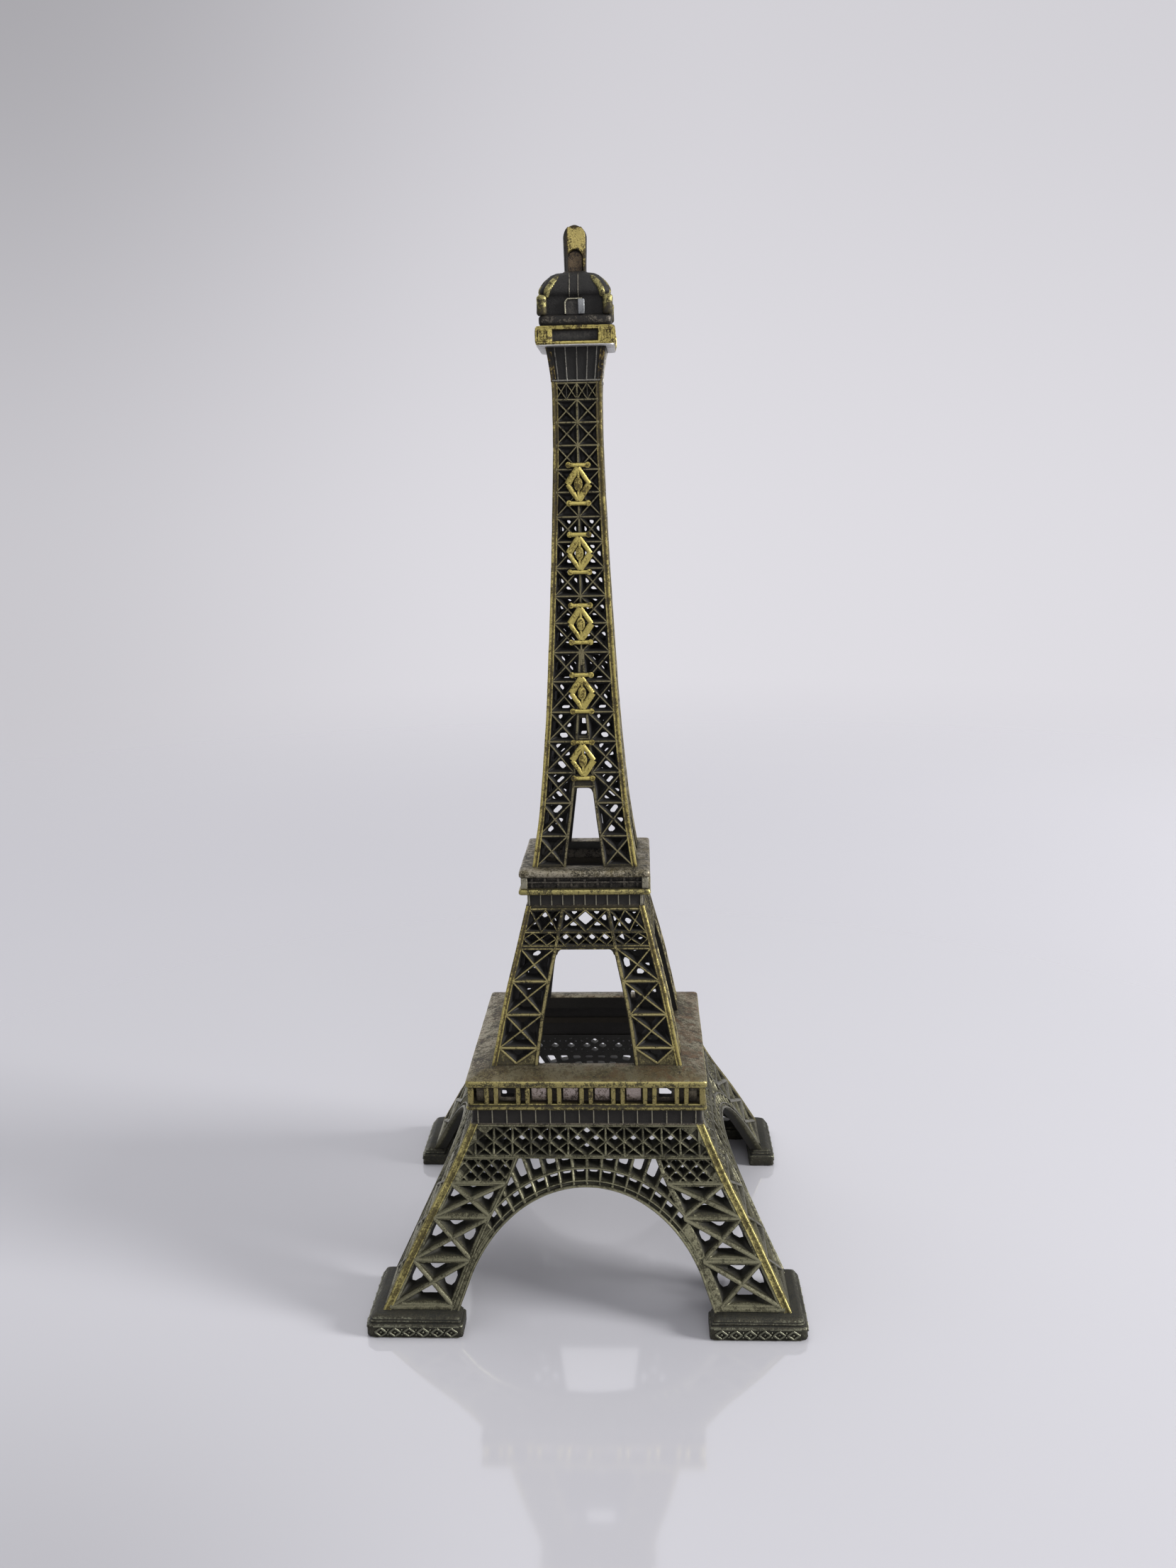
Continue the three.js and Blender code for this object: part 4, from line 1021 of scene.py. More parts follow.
def mid_trim():
    t = Solid()
    zs = frange(M_Z0 + 0.05, 66.3, 18)
    for sx in (-1, 1):
        t.join(strip(lambda z: sx * table(MID_IN, z), 0.62, 0.55, zs, raise_to=-0.04, edge=0.16))
        out = lambda z: sx * (half(z) - 0.85)
        inn = lambda z: sx * (table(MID_IN, z) + 0.2)
        for z, w in ((54.0, 0.44), (48.3, 0.44), (42.6, 0.44)):
            t.join(bar_between((out(z), z), (inn(z), z), w, 0.5, raise_to=0.0, edge=0.12, seg=2))
        for a, b in ((54.1, 59.5), (48.4, 53.9), (42.7, 48.2)):
            t.join(bar_between((out(a), a), (inn(b), b), 0.34, 0.5, raise_to=0.02, edge=0.16, seg=3))
            t.join(bar_between((inn(a), a), (out(b), b), 0.34, 0.5, raise_to=0.02, edge=0.16, seg=3))
        a, b = 39.95, 42.5
        xm = (out(40) + inn(40)) / 2
        t.join(bar_between((xm, a), (inn(b), b), 0.42, 0.5, raise_to=0.02, edge=0.14))
        t.join(bar_between((xm, a), (out(b), b), 0.42, 0.5, raise_to=0.02, edge=0.14))
    core = lambda z: -(table(MID_IN, z) - 0.2)
    flip = lambda z: -core(z)
    lo = lambda z: -(half(z) - 0.9)
    li = lambda z: -(table(MID_IN, z) + 0.2)
    ro = lambda z: -lo(z)
    ri = lambda z: -li(z)
    for xl, xr, n4 in ((core, flip, 4), (lo, li, 2), (ri, ro, 2)):
        f = lambda u, z: (xl(z) + (xr(z) - xl(z)) * u, z)
        a, b = 62.4, 66.05
        for i in range(2):
            t.join(bar_between(f(i / 2, a), f((i + 1) / 2, b), 0.24, 0.42, raise_to=0.05, edge=0.09))
            t.join(bar_between(f((i + 1) / 2, a), f(i / 2, b), 0.24, 0.42, raise_to=0.05, edge=0.09))
        a, b = 60.1, 62.2
        zm = (a + b) / 2
        for i in range(n4):
            u0, um, u1 = i / n4, (i + 0.5) / n4, (i + 1) / n4
            for p, q in ((f(u0, zm), f(um, b)), (f(um, b), f(u1, zm)), (f(u0, zm), f(um, a)), (f(um, a), f(u1, zm))):
                t.join(bar_between(p, q, 0.2, 0.42, raise_to=0.05, edge=0.08))
    for z, w in ((66.25, 0.42), (62.3, 0.3), (60.0, 0.26), (59.5, 0.3)):
        x = half(z) - 0.85
        t.join(bar_between((-x, z), (x, z), w, 0.5, raise_to=0.0, edge=0.12, seg=4))
    return t


def mid_panel():
    s = plate(mid_outline, mid_holes(), M_T, M_FRONT, 0.06, on_front)
    s.join(mid_trim())
    return s


# ------------------------------------------------------------------ column panels
C_Z0, C_Z1 = DK2[1][2], NK[0][2] + 0.1
C_T = 1.15
C_FRONT = 0.13
C_H = [155.0, 152.35, 148.7, 145.0, 141.1, 137.4, 133.35, 129.2, 124.8, 120.15, 115.6, 110.65, 105.65, 100.4, 95.3,
       89.9, 84.6, 78.85, 73.4]
C_OUT = [(73.4, 8.35), (78.9, 7.9), (84.6, 7.1), (90, 6.5), (96, 5.9), (105, 5.1), (113, 4.6), (130, 3.8), (150, 3.45), (156, 3.45)]
C_IN = [(73.5, 3.5), (76.4, 3.15), (82.5, 2.35), (88.6, 1.65), (95.3, 1.1), (100.4, 0.75), (105.6, 0.5), (110.65, 0.25)]
C_TIE = (87.35, 89.35)


def col_outline(depth, e):
    zs = frange(C_Z0 + 0.05, C_Z1, 22)
    left = [(-(half(z) - depth - e), z) for z in zs]
    right = [(-x, z) for x, z in left[::-1]]
    def xin(z):
        return table(C_IN, z) - 0.24 - e
    zt = C_TIE[0] - 0.15
    win = [(xin(z), z) for z in frange(C_Z0 + 0.05, zt - 0.8, 8)]
    r = 0.8
    cx, cz = xin(zt) - r, zt - r + e
    win += [(cx + r * math.cos(a), cz + r * math.sin(a)) for a in frange(0.12, math.pi / 2, 4)]
    return ccw(left + right + win + [(-x, z) for x, z in win[::-1]])


def col_holes():
    H = []

    def put(polys, bar, draft, both=True, **kw):
        for p in (polys + mirror(polys)) if both else polys:
            r = rings_for(p, bar, 0.045, draft, C_T, C_FRONT, rfront=0.05, **kw)
            if r:
                H.append(r)

    out = lambda z: -table(C_OUT, z)
    for i in range(len(C_H) - 1):
        b, a = C_H[i] - 0.13, C_H[i + 1] + 0.13
        if i == len(C_H) - 2:
            a = C_Z0 + 0.35
        if i == 0:
            for j in range(4):
                f = lambda t, z: out(z) * (1 - 2 * t)
                put(quad_x((f(j / 4, a), a), (f(j / 4 + .25, a), a), (f(j / 4 + .25, b), b), (f(j / 4, b), b)), 0.1, 0.25,
                    both=False, blind=True, pocket=0.6)
            continue
        if a > 110:
            inn = lambda z: -0.14
        else:
            inn = lambda z: -(table(C_IN, z) + 0.2)
        blind = a > 131
        put(quad_x((out(a), a), (inn(a), a), (inn(b), b), (out(b), b)), 0.10, 0.34, blind=blind, rback=0.3, minhole=0.2,
            pocket=0.75)
    # slots between the inner chords
    for a, b in ((96.3, 99.4), (92.9, 95.2), (89.6, 91.6)):
        f = lambda z: table(C_IN, z) - 0.2
        put([[(-f(a), a), (f(a), a), (f(b), b), (-f(b), b)]], 0.04, 0.12, both=False, rback=0.25, minhole=0.08)
    return H


def col_trim():
    t = Solid()
    t.join(strip(lambda z: 0.0, 0.36, 0.45, frange(108.5, 155.1, 20), raise_to=-0.02, edge=0.12))
    for sx in (-1, 1):
        t.join(strip(lambda z: sx * max(0.18, table(C_IN, z)), 0.46, 0.45, frange(C_Z0 + 0.05, 111.2, 22), raise_to=-0.02, edge=0.12))
        for i in range(1, len(C_H) - 1):
            b, a = C_H[i], C_H[i + 1]
            out = lambda z: sx * (table(C_OUT, z) + 0.12)
            inn = (lambda z: 0.0) if a > 110 else (lambda z: sx * (table(C_IN, z) + 0.1))
            if i == len(C_H) - 2:
                a = C_Z0 + 0.1
            w = 0.27 if a > 100 else 0.30
            t.join(bar_between((out(a), a), (inn(b), b), w, 0.42, raise_to=0.03, edge=0.1, seg=2))
            t.join(bar_between((inn(a), a), (out(b), b), w, 0.42, raise_to=0.03, edge=0.1, seg=2))
    for j in range(4):
        f = lambda u, z: (table(C_OUT, z) * (2 * u - 1), z)
        for p, q in ((f(j / 4, 152.4), f((j + 1) / 4, 154.95)), (f((j + 1) / 4, 152.4), f(j / 4, 154.95))):
            t.join(bar_between(p, q, 0.2, 0.4, raise_to=0.04, edge=0.08))
    for i, z in enumerate(C_H[:-1]):
        x = table(C_OUT, z) + 0.1
        w = 0.32 if i not in (0, 1) else 0.28
        if z > 95:
            t.join(bar_between((-x, z), (x, z), w, 0.45, raise_to=-0.0, edge=0.1, seg=2))
        else:
            for sx in (-1, 1):
                t.join(bar_between((sx * x, z), (sx * table(C_IN, z), z), w, 0.45, raise_to=0.0, edge=0.1, seg=1))
    for z in (C_TIE[1], C_TIE[0] + 0.15, 92.4, 95.75):
        x = table(C_IN, z)
        t.join(bar_between((-x, z), (x, z), 0.34, 0.45, raise_to=0.0, edge=0.1, seg=1))
    return t


def col_panel():
    s = plate(col_outline, col_holes(), C_T, C_FRONT, 0.05, on_front)
    s.join(col_trim())
    return s


# ------------------------------------------------------------------ build the lattice tiers
base_s = base_panel()
mid_s = mid_panel()
col_s = col_panel()
base_c = corner_chord(frange(FOOT_H - 0.15, FR1[0][2] + 0.2, 20), 1.42, 1.1)
mid_c = corner_chord(frange(M_Z0 + 0.02, FR2[0][2] + 0.1, 20), 0.98, 0.85, groove=0.05, ridge=0.12, rc=0.14)
col_c = corner_chord(frange(C_Z0 + 0.02, 155.35, 44), 1.0, 0.8, groove=0.05, ridge=0.13, rc=0.14)

for q, side in enumerate(SIDES):
    to_object("base_lattice_" + side, base_s.turned(q), MAT_BASE, ["base_arch_panel_" + side])
    to_object("base_chord_" + side, base_c.turned(q), MAT_CHORD_BASE)
    to_object("middle_lattice_" + side, mid_s.turned(q), MAT_MID, ["middle_panel_" + side])
    to_object("middle_chord_" + side, mid_c.turned(q), MAT_CHORD_MID)
    to_object("column_lattice_" + side, col_s.turned(q), MAT_COL, ["column_panel_" + side])
    to_object("column_chord_" + side, col_c.turned(q), MAT_CHORD_COL)

# ------------------------------------------------------------------ feet
def foot_solid():
    """Front left foot: two rounded-square steps under the leg; the relief on the outward faces is joined on from
    foot_relief.
    """
    x0, x1 = -FOOT_HALF, -FOOT_IN
    def foot_loop(grow, z, r=1.0, n=4):
        # L plan: outer corner at (-FOOT_HALF, -FOOT_HALF), arms along both sides
        o = FOOT_HALF + grow
        i = FOOT_IN - grow * 0.9
        t = FOOT_HALF - 5.0 - grow * 0.9
        corners = [(-o, -i, 0.45), (-o, -o, r), (-i, -o, 0.45), (-i, -t, 0.45), (-t, -t, 0.3), (-t, -i, 0.45)]
        pts = []
        m = len(corners)
        for k in range(m):
            ax, ay, _ = corners[k - 1]
            cx, cy, rr = corners[k]
            bx, by, _ = corners[(k + 1) % m]
            la, lb = math.hypot(ax - cx, ay - cy), math.hypot(bx - cx, by - cy)
            ux, uy, vx, vy = (ax - cx) / la, (ay - cy) / la, (bx - cx) / lb, (by - cy) / lb
            sx, sy = cx + ux * rr, cy + uy * rr
            ex, ey = cx + vx * rr, cy + vy * rr
            for j in range(n + 1):
                tt = j / n
                pts.append(((1 - tt) ** 2 * sx + 2 * tt * (1 - tt) * cx + tt * tt * ex,
                            (1 - tt) ** 2 * sy + 2 * tt * (1 - tt) * cy + tt * tt * ey, z))
            # points along the run to the next corner
            nx, ny, nr = corners[(k + 1) % m]
            qx, qy = nx - vx * nr, ny - vy * nr
            for j in range(1, 8):
                tt = j / 8
                pts.append((ex + (qx - ex) * tt, ey + (qy - ey) * tt, z))
        return pts
    levels = [(-0.30, 0.0), (-0.06, 0.14), (0.0, 0.36), (0.0, 1.95), (-0.08, 2.14), (-0.26, 2.26), (-0.40, 2.30), (-0.46, 2.38),
              (-0.46, 2.46), (-0.42, 2.54), (-0.44, 2.72), (-0.54, 2.80), (-0.62, 2.86), (-0.64, 2.94), (-0.62, 3.02),
              (-0.78, 3.16), (-1.10, 3.36), (-1.30, 3.5)]
    deps = [0.3, 0.1, 0.22, 0.28, 0.16, 0.16, 0.28, 0.42, 0.42, 0.2, 0.16, 0.2, 0.36, 0.36, 0.2, 0.18, 0.25, 0.3]
    loops = [foot_loop(g, z) for g, z in levels]
    s = loft(loops, deps)
    return s


def bead(cx, cz, rx, rz, h, place, n=12, depth0=0.0):
    """Low oval button on a face."""
    loops, deps = [], []
    for t, hh in ((1.0, -0.15), (0.98, h * 0.35), (0.8, h * 0.8), (0.45, h)):
        loops.append([place(cx + rx * t * math.cos(a), cz + rz * t * math.sin(a), depth0 - hh) for a in [2 * math.pi * i / n for i in range(n)]])
        deps.append([0.12 * t] * n)
    return loft(loops, deps)


def lozenge(cx, cz, rx, rz, h, place, depth0=0.0):
    loops = []
    for t, hh in ((1.0, -0.15), (0.95, h * 0.5), (0.6, h)):
        loops.append([place(cx + rx * t * u, cz + rz * t * v, depth0 - hh) for u, v in ((1, 0), (0.5, 0.5), (0, 1), (-0.5, 0.5), (-1, 0), (-0.5, -0.5), (0, -1), (0.5, -0.5))])
    return loft(loops)


def foot_relief():
    """Generic moulding on the outward face of a front foot: a framed row of buttons and lozenges."""
    place = lambda x, z, d: (x, -FOOT_HALF + d, z)
    t = Solid()
    x0, x1 = -FOOT_HALF + 1.25, -FOOT_IN - 0.75
    n = 6
    step = (x1 - x0) / n
    for i in range(n):
        x = x0 + step * (i + 0.5)
        rx, rz = step * 0.42, 0.76
        c = [(x + rx, 1.08), (x, 1.08 + rz), (x - rx, 1.08), (x, 1.08 - rz)]
        for k in range(4):
            t.join(bar_between(c[k], c[(k + 1) % 4], 0.36, 0.3, raise_to=-0.24, edge=0.10, place=place))
        t.join(bead(x, 1.08, 0.22, 0.22, 0.22, place, n=8))
        if i:
            t.join(bead(x0 + step * i, 1.50, 0.16, 0.22, 0.22, place, n=8))
            t.join(bead(x0 + step * i, 0.66, 0.16, 0.22, 0.22, place, n=8))
    for z in (0.16, 2.0):
        t.join(bar_between((x0 - 0.1, z), (x1 + 0.1, z), 0.16, 0.2, raise_to=-0.10, edge=0.06, place=place, seg=6))
    return t


foot = foot_solid()
relief = foot_relief()
FEET = ["foot_plinth_front_left", "foot_plinth_front_right", "foot_plinth_rear_right", "foot_plinth_rear_left"]
for q, name in enumerate(FEET):
    f = foot.turned(q)
    f2 = Solid().join(relief.turned(q))
    mirrored = Solid()
    mirrored.v = [(y, x, z) for x, y, z in relief.turned(0).v]
    mirrored.f = [fc[::-1] for fc in relief.f]
    mirrored.d = list(relief.d)
    f2.join(mirrored.turned(q))
    f.join(f2)
    to_object("foot_" + name[12:], f, MAT_FOOT, [name], sharp=42)

# ------------------------------------------------------------------ first platform
def box_depth(front_half):
    return lambda x, z, d: (x, -front_half + d, z)


fr1_half = FR1[1][0]
fr1_z0, fr1_z1 = FR1[0][2], FR1[1][2]
s = square_ring([(fr1_half - 0.28, fr1_z0 - 0.1), (fr1_half - 0.02, fr1_z0), (fr1_half + 0.06, fr1_z0 + 0.12), (fr1_half - 0.1, fr1_z0 + 0.3),
                 (fr1_half - 0.28, fr1_z0 + 0.42), (fr1_half - 0.3, fr1_z1 - 0.25), (fr1_half - 0.12, fr1_z1 + 0.1), (fr1_half - 0.2, fr1_z1 + 0.35),
                 (fr1_half - 2.2, fr1_z1 + 0.35), (fr1_half - 2.2, fr1_z0 - 0.1)], r=0.5,
                deps=[0.3, 0.05, 0.0, 0.2, 0.45, 0.45, 0.2, 0.3, 0.8, 0.8])
to_object("frieze_first", s, MAT_DARK, ["first_frieze_ring"])
ribs = Solid()
pl = box_depth(fr1_half)
for x in (1.26, 3.78, 6.3, 8.83, 11.36, 13.88, 16.4, 18.9):
    for sx in (-1, 1):
        ribs.join(bar_between((sx * x, fr1_z0 + 0.1), (sx * x, fr1_z1 + 0.2), 0.24, 0.5, raise_to=0.08, edge=0.08, place=pl))
for q, side in enumerate(SIDES):
    to_object("frieze_first_ribs_" + side, ribs.turned(q), MAT_RIB)

lh = LG1[1][0]
z0, z1 = LG1[0][2], LG1[1][2]
s = square_ring([(lh - 0.42, z0 - 0.1), (lh - 0.1, z0), (lh, z0 + 0.16), (lh + 0.02, z0 + 0.42), (lh - 0.1, z0 + 0.56), (lh - 0.28, z0 + 0.62),
                 (lh - 0.34, z0 + 0.72), (lh - 0.3, z1 - 0.12), (lh - 0.42, z1 + 0.02), (lh - 3.0, z1 + 0.02), (lh - 3.0, z0 - 0.1)],
                r=0.5, deps=[0.3, 0.05, 0, 0, 0.02, 0.2, 0.3, 0.1, 0.05, 0.9, 0.9])
to_object("ledge_first", s, MAT_LEDGE, ["first_ledge_ring"])

# balustrade: paired posts
d1z = DK1[0][2]
posts = Solid()
for k in range(-3, 4):
    for sx in (-1, 1):
        x = 5.48 * k + sx * 0.80
        posts.join(chamfer_box(x - 0.40, x + 0.40, -20.55, -19.75, z1 - 0.05, d1z + 0.1, b=0.16))
posts.join(chamfer_box(-20.5, -19.5, -20.5, -19.5, z1 - 0.05, d1z + 0.1, b=0.12))
for q, side in enumerate(SIDES):
    to_object("balustrade_first_" + side, posts.turned(q), MAT_POST, ["first_balustrade_" + side])

# gallery wall with four blind square panels and two open windows a side
GW = 19.15
GT_T = 1.2
gz0, gz1 = z1 - 0.05, d1z + 0.1


def wall_outline(depth, e):
    x = GW - depth
    return [(-x + e, gz0), (x - e, gz0), (x - e, gz1), (-x + e, gz1)]


wh = []
for c in (-13.7, 13.7):
    r = rings_for([(c - 1.15, gz0 + 0.75), (c + 1.15, gz0 + 0.75), (c + 1.15, gz1 - 0.55), (c - 1.15, gz1 - 0.55)], 0.0, 0.08, 0.1, GT_T, 0.0, rfront=0.15, rback=0.15)
    wh.append(r)
for c in (-8.22, -2.74, 2.74, 8.22):
    r = rings_for([(c - 1.62, gz0 + 0.5), (c + 1.62, gz0 + 0.5), (c + 1.62, gz1 - 0.22), (c - 1.62, gz1 - 0.22)], 0.0, 0.08, 0.12, GT_T, 0.0, blind=True, pocket=0.35, rfront=0.12, rback=0.1)
    wh.append(r)
wall = plate(wall_outline, wh, GT_T, 0.0, 0.03, lambda x, z, d: (x, -GW + d, z))
panels = Solid()
for c in (-8.22, -2.74, 2.74, 8.22):
    panels.join(chamfer_box(c - 1.36, c + 1.36, -GW - 0.12, -GW + 0.7, gz0 + 0.16, gz1 - 0.55, b=0.16))
for q, side in enumerate(SIDES):
    to_object("gallery_wall_" + side, wall.turned(q), MAT_DARK, ["first_gallery_wall"] if q == 0 else [])
    to_object("gallery_panels_" + side, panels.turned(q), MAT_PANEL)

dh = DK1[1][0]
z0 = DK1[0][2]
s = square_ring([(dh - 0.55, z0 - 0.05), (dh - 0.18, z0), (dh, z0 + 0.18), (dh + 0.02, z0 + 0.5), (dh, z0 + 1.0), (dh - 0.16, z0 + 1.26),
                 (dh - 0.5, z0 + 1.4), (dh - 1.4, z0 + 1.68), (dh - 2.6, z0 + 2.02), (17.0, z0 + 2.28), (16.6, z0 + 2.32), (15.55, z0 + 2.3), (15.32, z0 + 2.15),
                 (15.3, z0 + 1.2), (15.35, z0 - 0.05)],
                r=0.55, rin=0.25, side=14, deps=[0.4, 0.15, 0, 0, 0, 0, 0.08, 0.15, 0.15, 0.15, 0.1, 0.05, 0.3, 0.9, 1.0])
deck1 = to_object("deck_first", s, MAT_BRONZE, ["first_deck"], sharp=50)
edge = square_ring([(dh - 0.25, z0 + 0.02), (dh + 0.03, z0 + 0.2), (dh + 0.06, z0 + 0.5), (dh + 0.05, z0 + 1.0), (dh - 0.1, z0 + 1.22), (dh - 0.4, z0 + 1.1)], r=0.55,
                   side=14, deps=[0.2, 0.02, 0, 0.02, 0.1, 0.4])
to_object("deck_first_edge", edge, MAT_LEDGE)

# ------------------------------------------------------------------ second platform
fh = FR2[1][0]
z0, z1 = FR2[0][2], FR2[1][2]
s = square_ring([(fh - 0.2, z0 - 0.25), (fh, z0 - 0.1), (fh + 0.04, z0 + 0.06), (fh - 0.22, z0 + 0.25), (fh - 0.3, z0 + 0.4), (fh - 0.3, z1 - 0.1),
                 (fh - 0.1, z1 + 0.1), (fh - 0.2, z1 + 0.35), (fh - 1.6, z1 + 0.35), (fh - 1.6, z0 - 0.25)], r=0.4,
                deps=[0.3, 0.05, 0, 0.2, 0.45, 0.45, 0.2, 0.3, 0.9, 0.9])
to_object("frieze_second", s, MAT_DARK, ["second_frieze_ring"])
ribs = Solid()
pl = box_depth(fh)
for k in range(-5, 6):
    x = 1.95 * k
    x = max(-fh + 0.25, min(fh - 0.25, x))
    ribs.join(bar_between((x, z0 + 0.05), (x, z1 + 0.15), 0.24, 0.5, raise_to=0.06, edge=0.08, place=pl))
for q, side in enumerate(SIDES):
    to_object("frieze_second_ribs_" + side, ribs.turned(q), MAT_RIB)

lh = LG2[1][0]
z0, z1 = LG2[0][2], LG2[1][2]
s = square_ring([(lh - 0.7, z0 - 0.15), (lh - 0.15, z0), (lh, z0 + 0.2), (lh, z0 + 0.62), (lh - 0.15, z0 + 0.9), (lh - 0.6, z1 + 0.02), (lh - 2.8, z1 + 0.05), (lh - 2.8, z0 - 0.15)],
                r=0.45, deps=[0.4, 0.05, 0, 0, 0.02, 0.2, 0.9, 0.9])
to_object("ledge_second", s, MAT_LEDGE, ["second_ledge_ring"])

ch = CO2[1][0]
z0, z1 = CO2[0][2], CO2[1][2]
s = square_ring([(ch - 0.75, z0 - 0.4), (ch - 0.75, z1 + 0.4), (ch - 2.2, z1 + 0.4), (ch - 2.2, z0 - 0.4)], r=0.2)
cb = Solid()
for k in range(-4, 5):
    cb.join(chamfer_box(k * 2.3 - 0.22, k * 2.3 + 0.22, -ch + 0.45, -ch + 1.0, z0 - 0.3, z1 + 0.35, b=0.06))
cb.join(chamfer_box(-ch + 0.3, ch - 0.3, -ch + 0.35, -ch + 1.0, (z0 + z1) / 2 - 0.12, (z0 + z1) / 2 + 0.2, b=0.06))
for q in range(4):
    s.join(cb.turned(q))
to_object("cornice_second", s, MAT_DOME, ["second_cornice_core"])
cb = chamfer_box(-11.1, -9.95, -11.1, -9.95, z0 - 0.35, z1 + 0.35, b=0.14)
for q, side in enumerate(SIDES):
    to_object("cornice_corner_" + side, cb.turned(q), MAT_RIB)

dh = DK2[1][0]
z0, z1 = DK2[0][2], DK2[1][2]
s = square_ring([(dh - 0.5, z0 - 0.05), (dh - 0.12, z0), (dh, z0 + 0.15), (dh + 0.02, z0 + 0.5), (dh - 0.02, z0 + 0.95), (dh - 0.16, z0 + 1.16),
                 (dh - 0.5, z0 + 1.27), (dh - 1.6, z1 + 0.02), (8.3, z1 + 0.02), (8.2, z1 - 0.1), (8.2, z0 - 0.05)],
                r=0.5, rin=0.2, side=12, deps=[0.4, 0.1, 0, 0, 0, 0, 0.05, 0.1, 0.15, 0.5, 0.9])
to_object("deck_second", s, MAT_PALE, ["second_deck"], sharp=50)

# ------------------------------------------------------------------ ornaments on the column front
for i in range(5):
    name = "column_ornament_%d" % (i + 1)
    lo, hi = node_box(name)
    cx, cz = (lo[0] + hi[0]) / 2, (lo[2] + hi[2]) / 2
    w, h = (hi[0] - lo[0]) / 2, (hi[2] - lo[2]) / 2
    face = -half(cz) - 0.35
    def place(x, z, d, cz=cz):
        return (x, -half(z) - 0.42 + d, z)
    o = Solid()
    def bars(points, widths):
        t = Solid()
        for k in range(len(points) - 1):
            t.join(bar_between(points[k], points[k + 1], widths[k], 0.5, raise_to=0.0, edge=0.16, place=place, seg=2))
        return t
    # a tall open lozenge with unequal strokes, a bead inside, short feet above and below
    a, b = w * 0.80, h * 0.76
    o.join(bars([(cx, cz + b), (cx - a, cz)], [1.15]))
    o.join(bars([(cx - a, cz), (cx, cz - b)], [0.8]))
    o.join(bars([(cx, cz - b), (cx + a, cz)], [1.15]))
    o.join(bars([(cx + a, cz), (cx, cz + b)], [0.8]))
    for sz in (-1, 1):
        o.join(bars([(cx - w * 0.66, cz + sz * h * 0.89), (cx + w * 0.66, cz + sz * h * 0.89)], [0.72]))
        o.join(bead(cx - w * 0.70, cz + sz * h * 0.89, 0.5, 0.5, 0.06, place))
        o.join(bead(cx + w * 0.70, cz + sz * h * 0.89, 0.5, 0.5, 0.06, place))
        o.join(bars([(cx, cz + sz * 0.7), (cx, cz + sz * (b - 0.1))], [0.5]))
    o.join(bead(cx, cz, 0.72, 1.15, 0.12, place))
    to_object("ornament_%d" % (i + 1), o, MAT_ORN, [name], wobble=0.05)

# ------------------------------------------------------------------ neck
z0, z1 = NK[0][2], NK[1][2]
s = square_ring([(half(z) - 0.05, z) for z in frange(z0 - 0.1, z1 + 0.35, 10)] + [(half(z1) - 1.2, z1 + 0.35), (half(z0) - 1.2, z0 - 0.1)], r=0.3, side=4,
                deps=[0.5] * 11 + [1, 1])
t = Solid()
neck_lines = Solid()
for q in range(4):
    f = Solid()
    for x0, x1 in ((-1.55, -1.75), (0.1, 0.15), (1.65, 1.95), (-3.0, -3.5), (3.0, 3.5)):
        f.join(bar_between((x0, z0 - 0.05), (x1, z1 + 0.3), 0.2, 0.5, raise_to=-0.12, edge=0.06, seg=5))
    f.join(bar_between((-half(z0) + 0.2, z0 + 0.1), (half(z0) - 0.2, z0 + 0.1), 0.34, 0.5, raise_to=-0.1, edge=0.1, seg=2))
    neck_lines.join(f.turned(q))
to_object("neck", s, MAT_DOME, ["neck_collar"])
to_object("neck_lines", neck_lines, MAT_NECK_LINE)
nc = corner_chord(frange(z0 - 0.05, z1 + 0.3, 8), 0.9, 0.7, over=0.06, groove=0.05, ridge=0.1, rc=0.12)
for q, side in enumerate(SIDES):
    to_object("neck_chord_" + side, nc.turned(q), MAT_NECK_CHORD)

# ------------------------------------------------------------------ top gallery band
gh = GT[1][0]
z0, z1 = GT[0][2], GT[1][2]


def band_outline(depth, e):
    x = gh - depth
    return [(-x + e, z0 + 0.35 + e), (x - e, z0 + 0.35 + e), (x - e, z1 - 0.3 - e), (-x + e, z1 - 0.3 - e)]


slot = rings_for([(-3.75, 161.35), (3.75, 161.35), (3.75, 163.15), (-3.75, 163.15)], 0.0, 0.1, 0.25, 1.2, 0.0, blind=True, pocket=0.75, rfront=0.12, rback=0.2)
bandp = plate(band_outline, [slot], 1.2, 0.0, 0.08, lambda x, z, d: (x, -gh + d, z))
core = square_ring([(gh - 1.2, z0 + 0.1), (gh - 0.3, z0 + 0.06), (gh - 0.08, z0 + 0.16), (gh + 0.02, z0 + 0.36), (gh - 0.06, z0 + 0.52), (gh - 0.6, z0 + 0.56),
                    (gh - 0.9, z0 + 1.4), (gh - 0.6, z1 - 0.5), (gh - 0.06, z1 - 0.44), (gh + 0.02, z1 - 0.26), (gh - 0.1, z1 - 0.06), (gh - 0.45, z1), (gh - 2.6, z1 + 0.02),
                    (gh - 2.6, z0 + 0.1)], r=0.8, n=5, deps=[0.3, 0.1, 0.03, 0, 0.05, 0.5, 0.9, 0.5, 0.05, 0, 0, 0.1, 0.6, 0.6])
t = Solid().join(core)
for q in range(4):
    t.join(bandp.turned(q))
# Painted shade: a near-black box set inside each slot pocket stands for the shade in the slot.
slot_shade_insert = Solid()
ds = chamfer_box(-3.72, 3.72, -gh + 0.55, -gh + 1.15, 161.38, 163.12, b=0.05)
cove = square_ring([(4.7, 160.62), (6.1, 160.62), (6.34, 160.7), (6.34, 160.95), (4.7, 160.95)], r=0.7, n=5)
for q in range(4):
    slot_shade_insert.join(ds.turned(q))
to_object("gallery_slot_painted_shade", slot_shade_insert, MAT_INNER_SHADE)
to_object("gallery_underside", cove, MAT_GREY)
cp = chamfer_box(-gh + 0.02, -gh + 1.5, -gh + 0.02, -gh + 1.5, z0 + 0.4, z1 - 0.35, b=0.3)
for q in range(4):
    t.join(cp.turned(q))
ends = Solid()
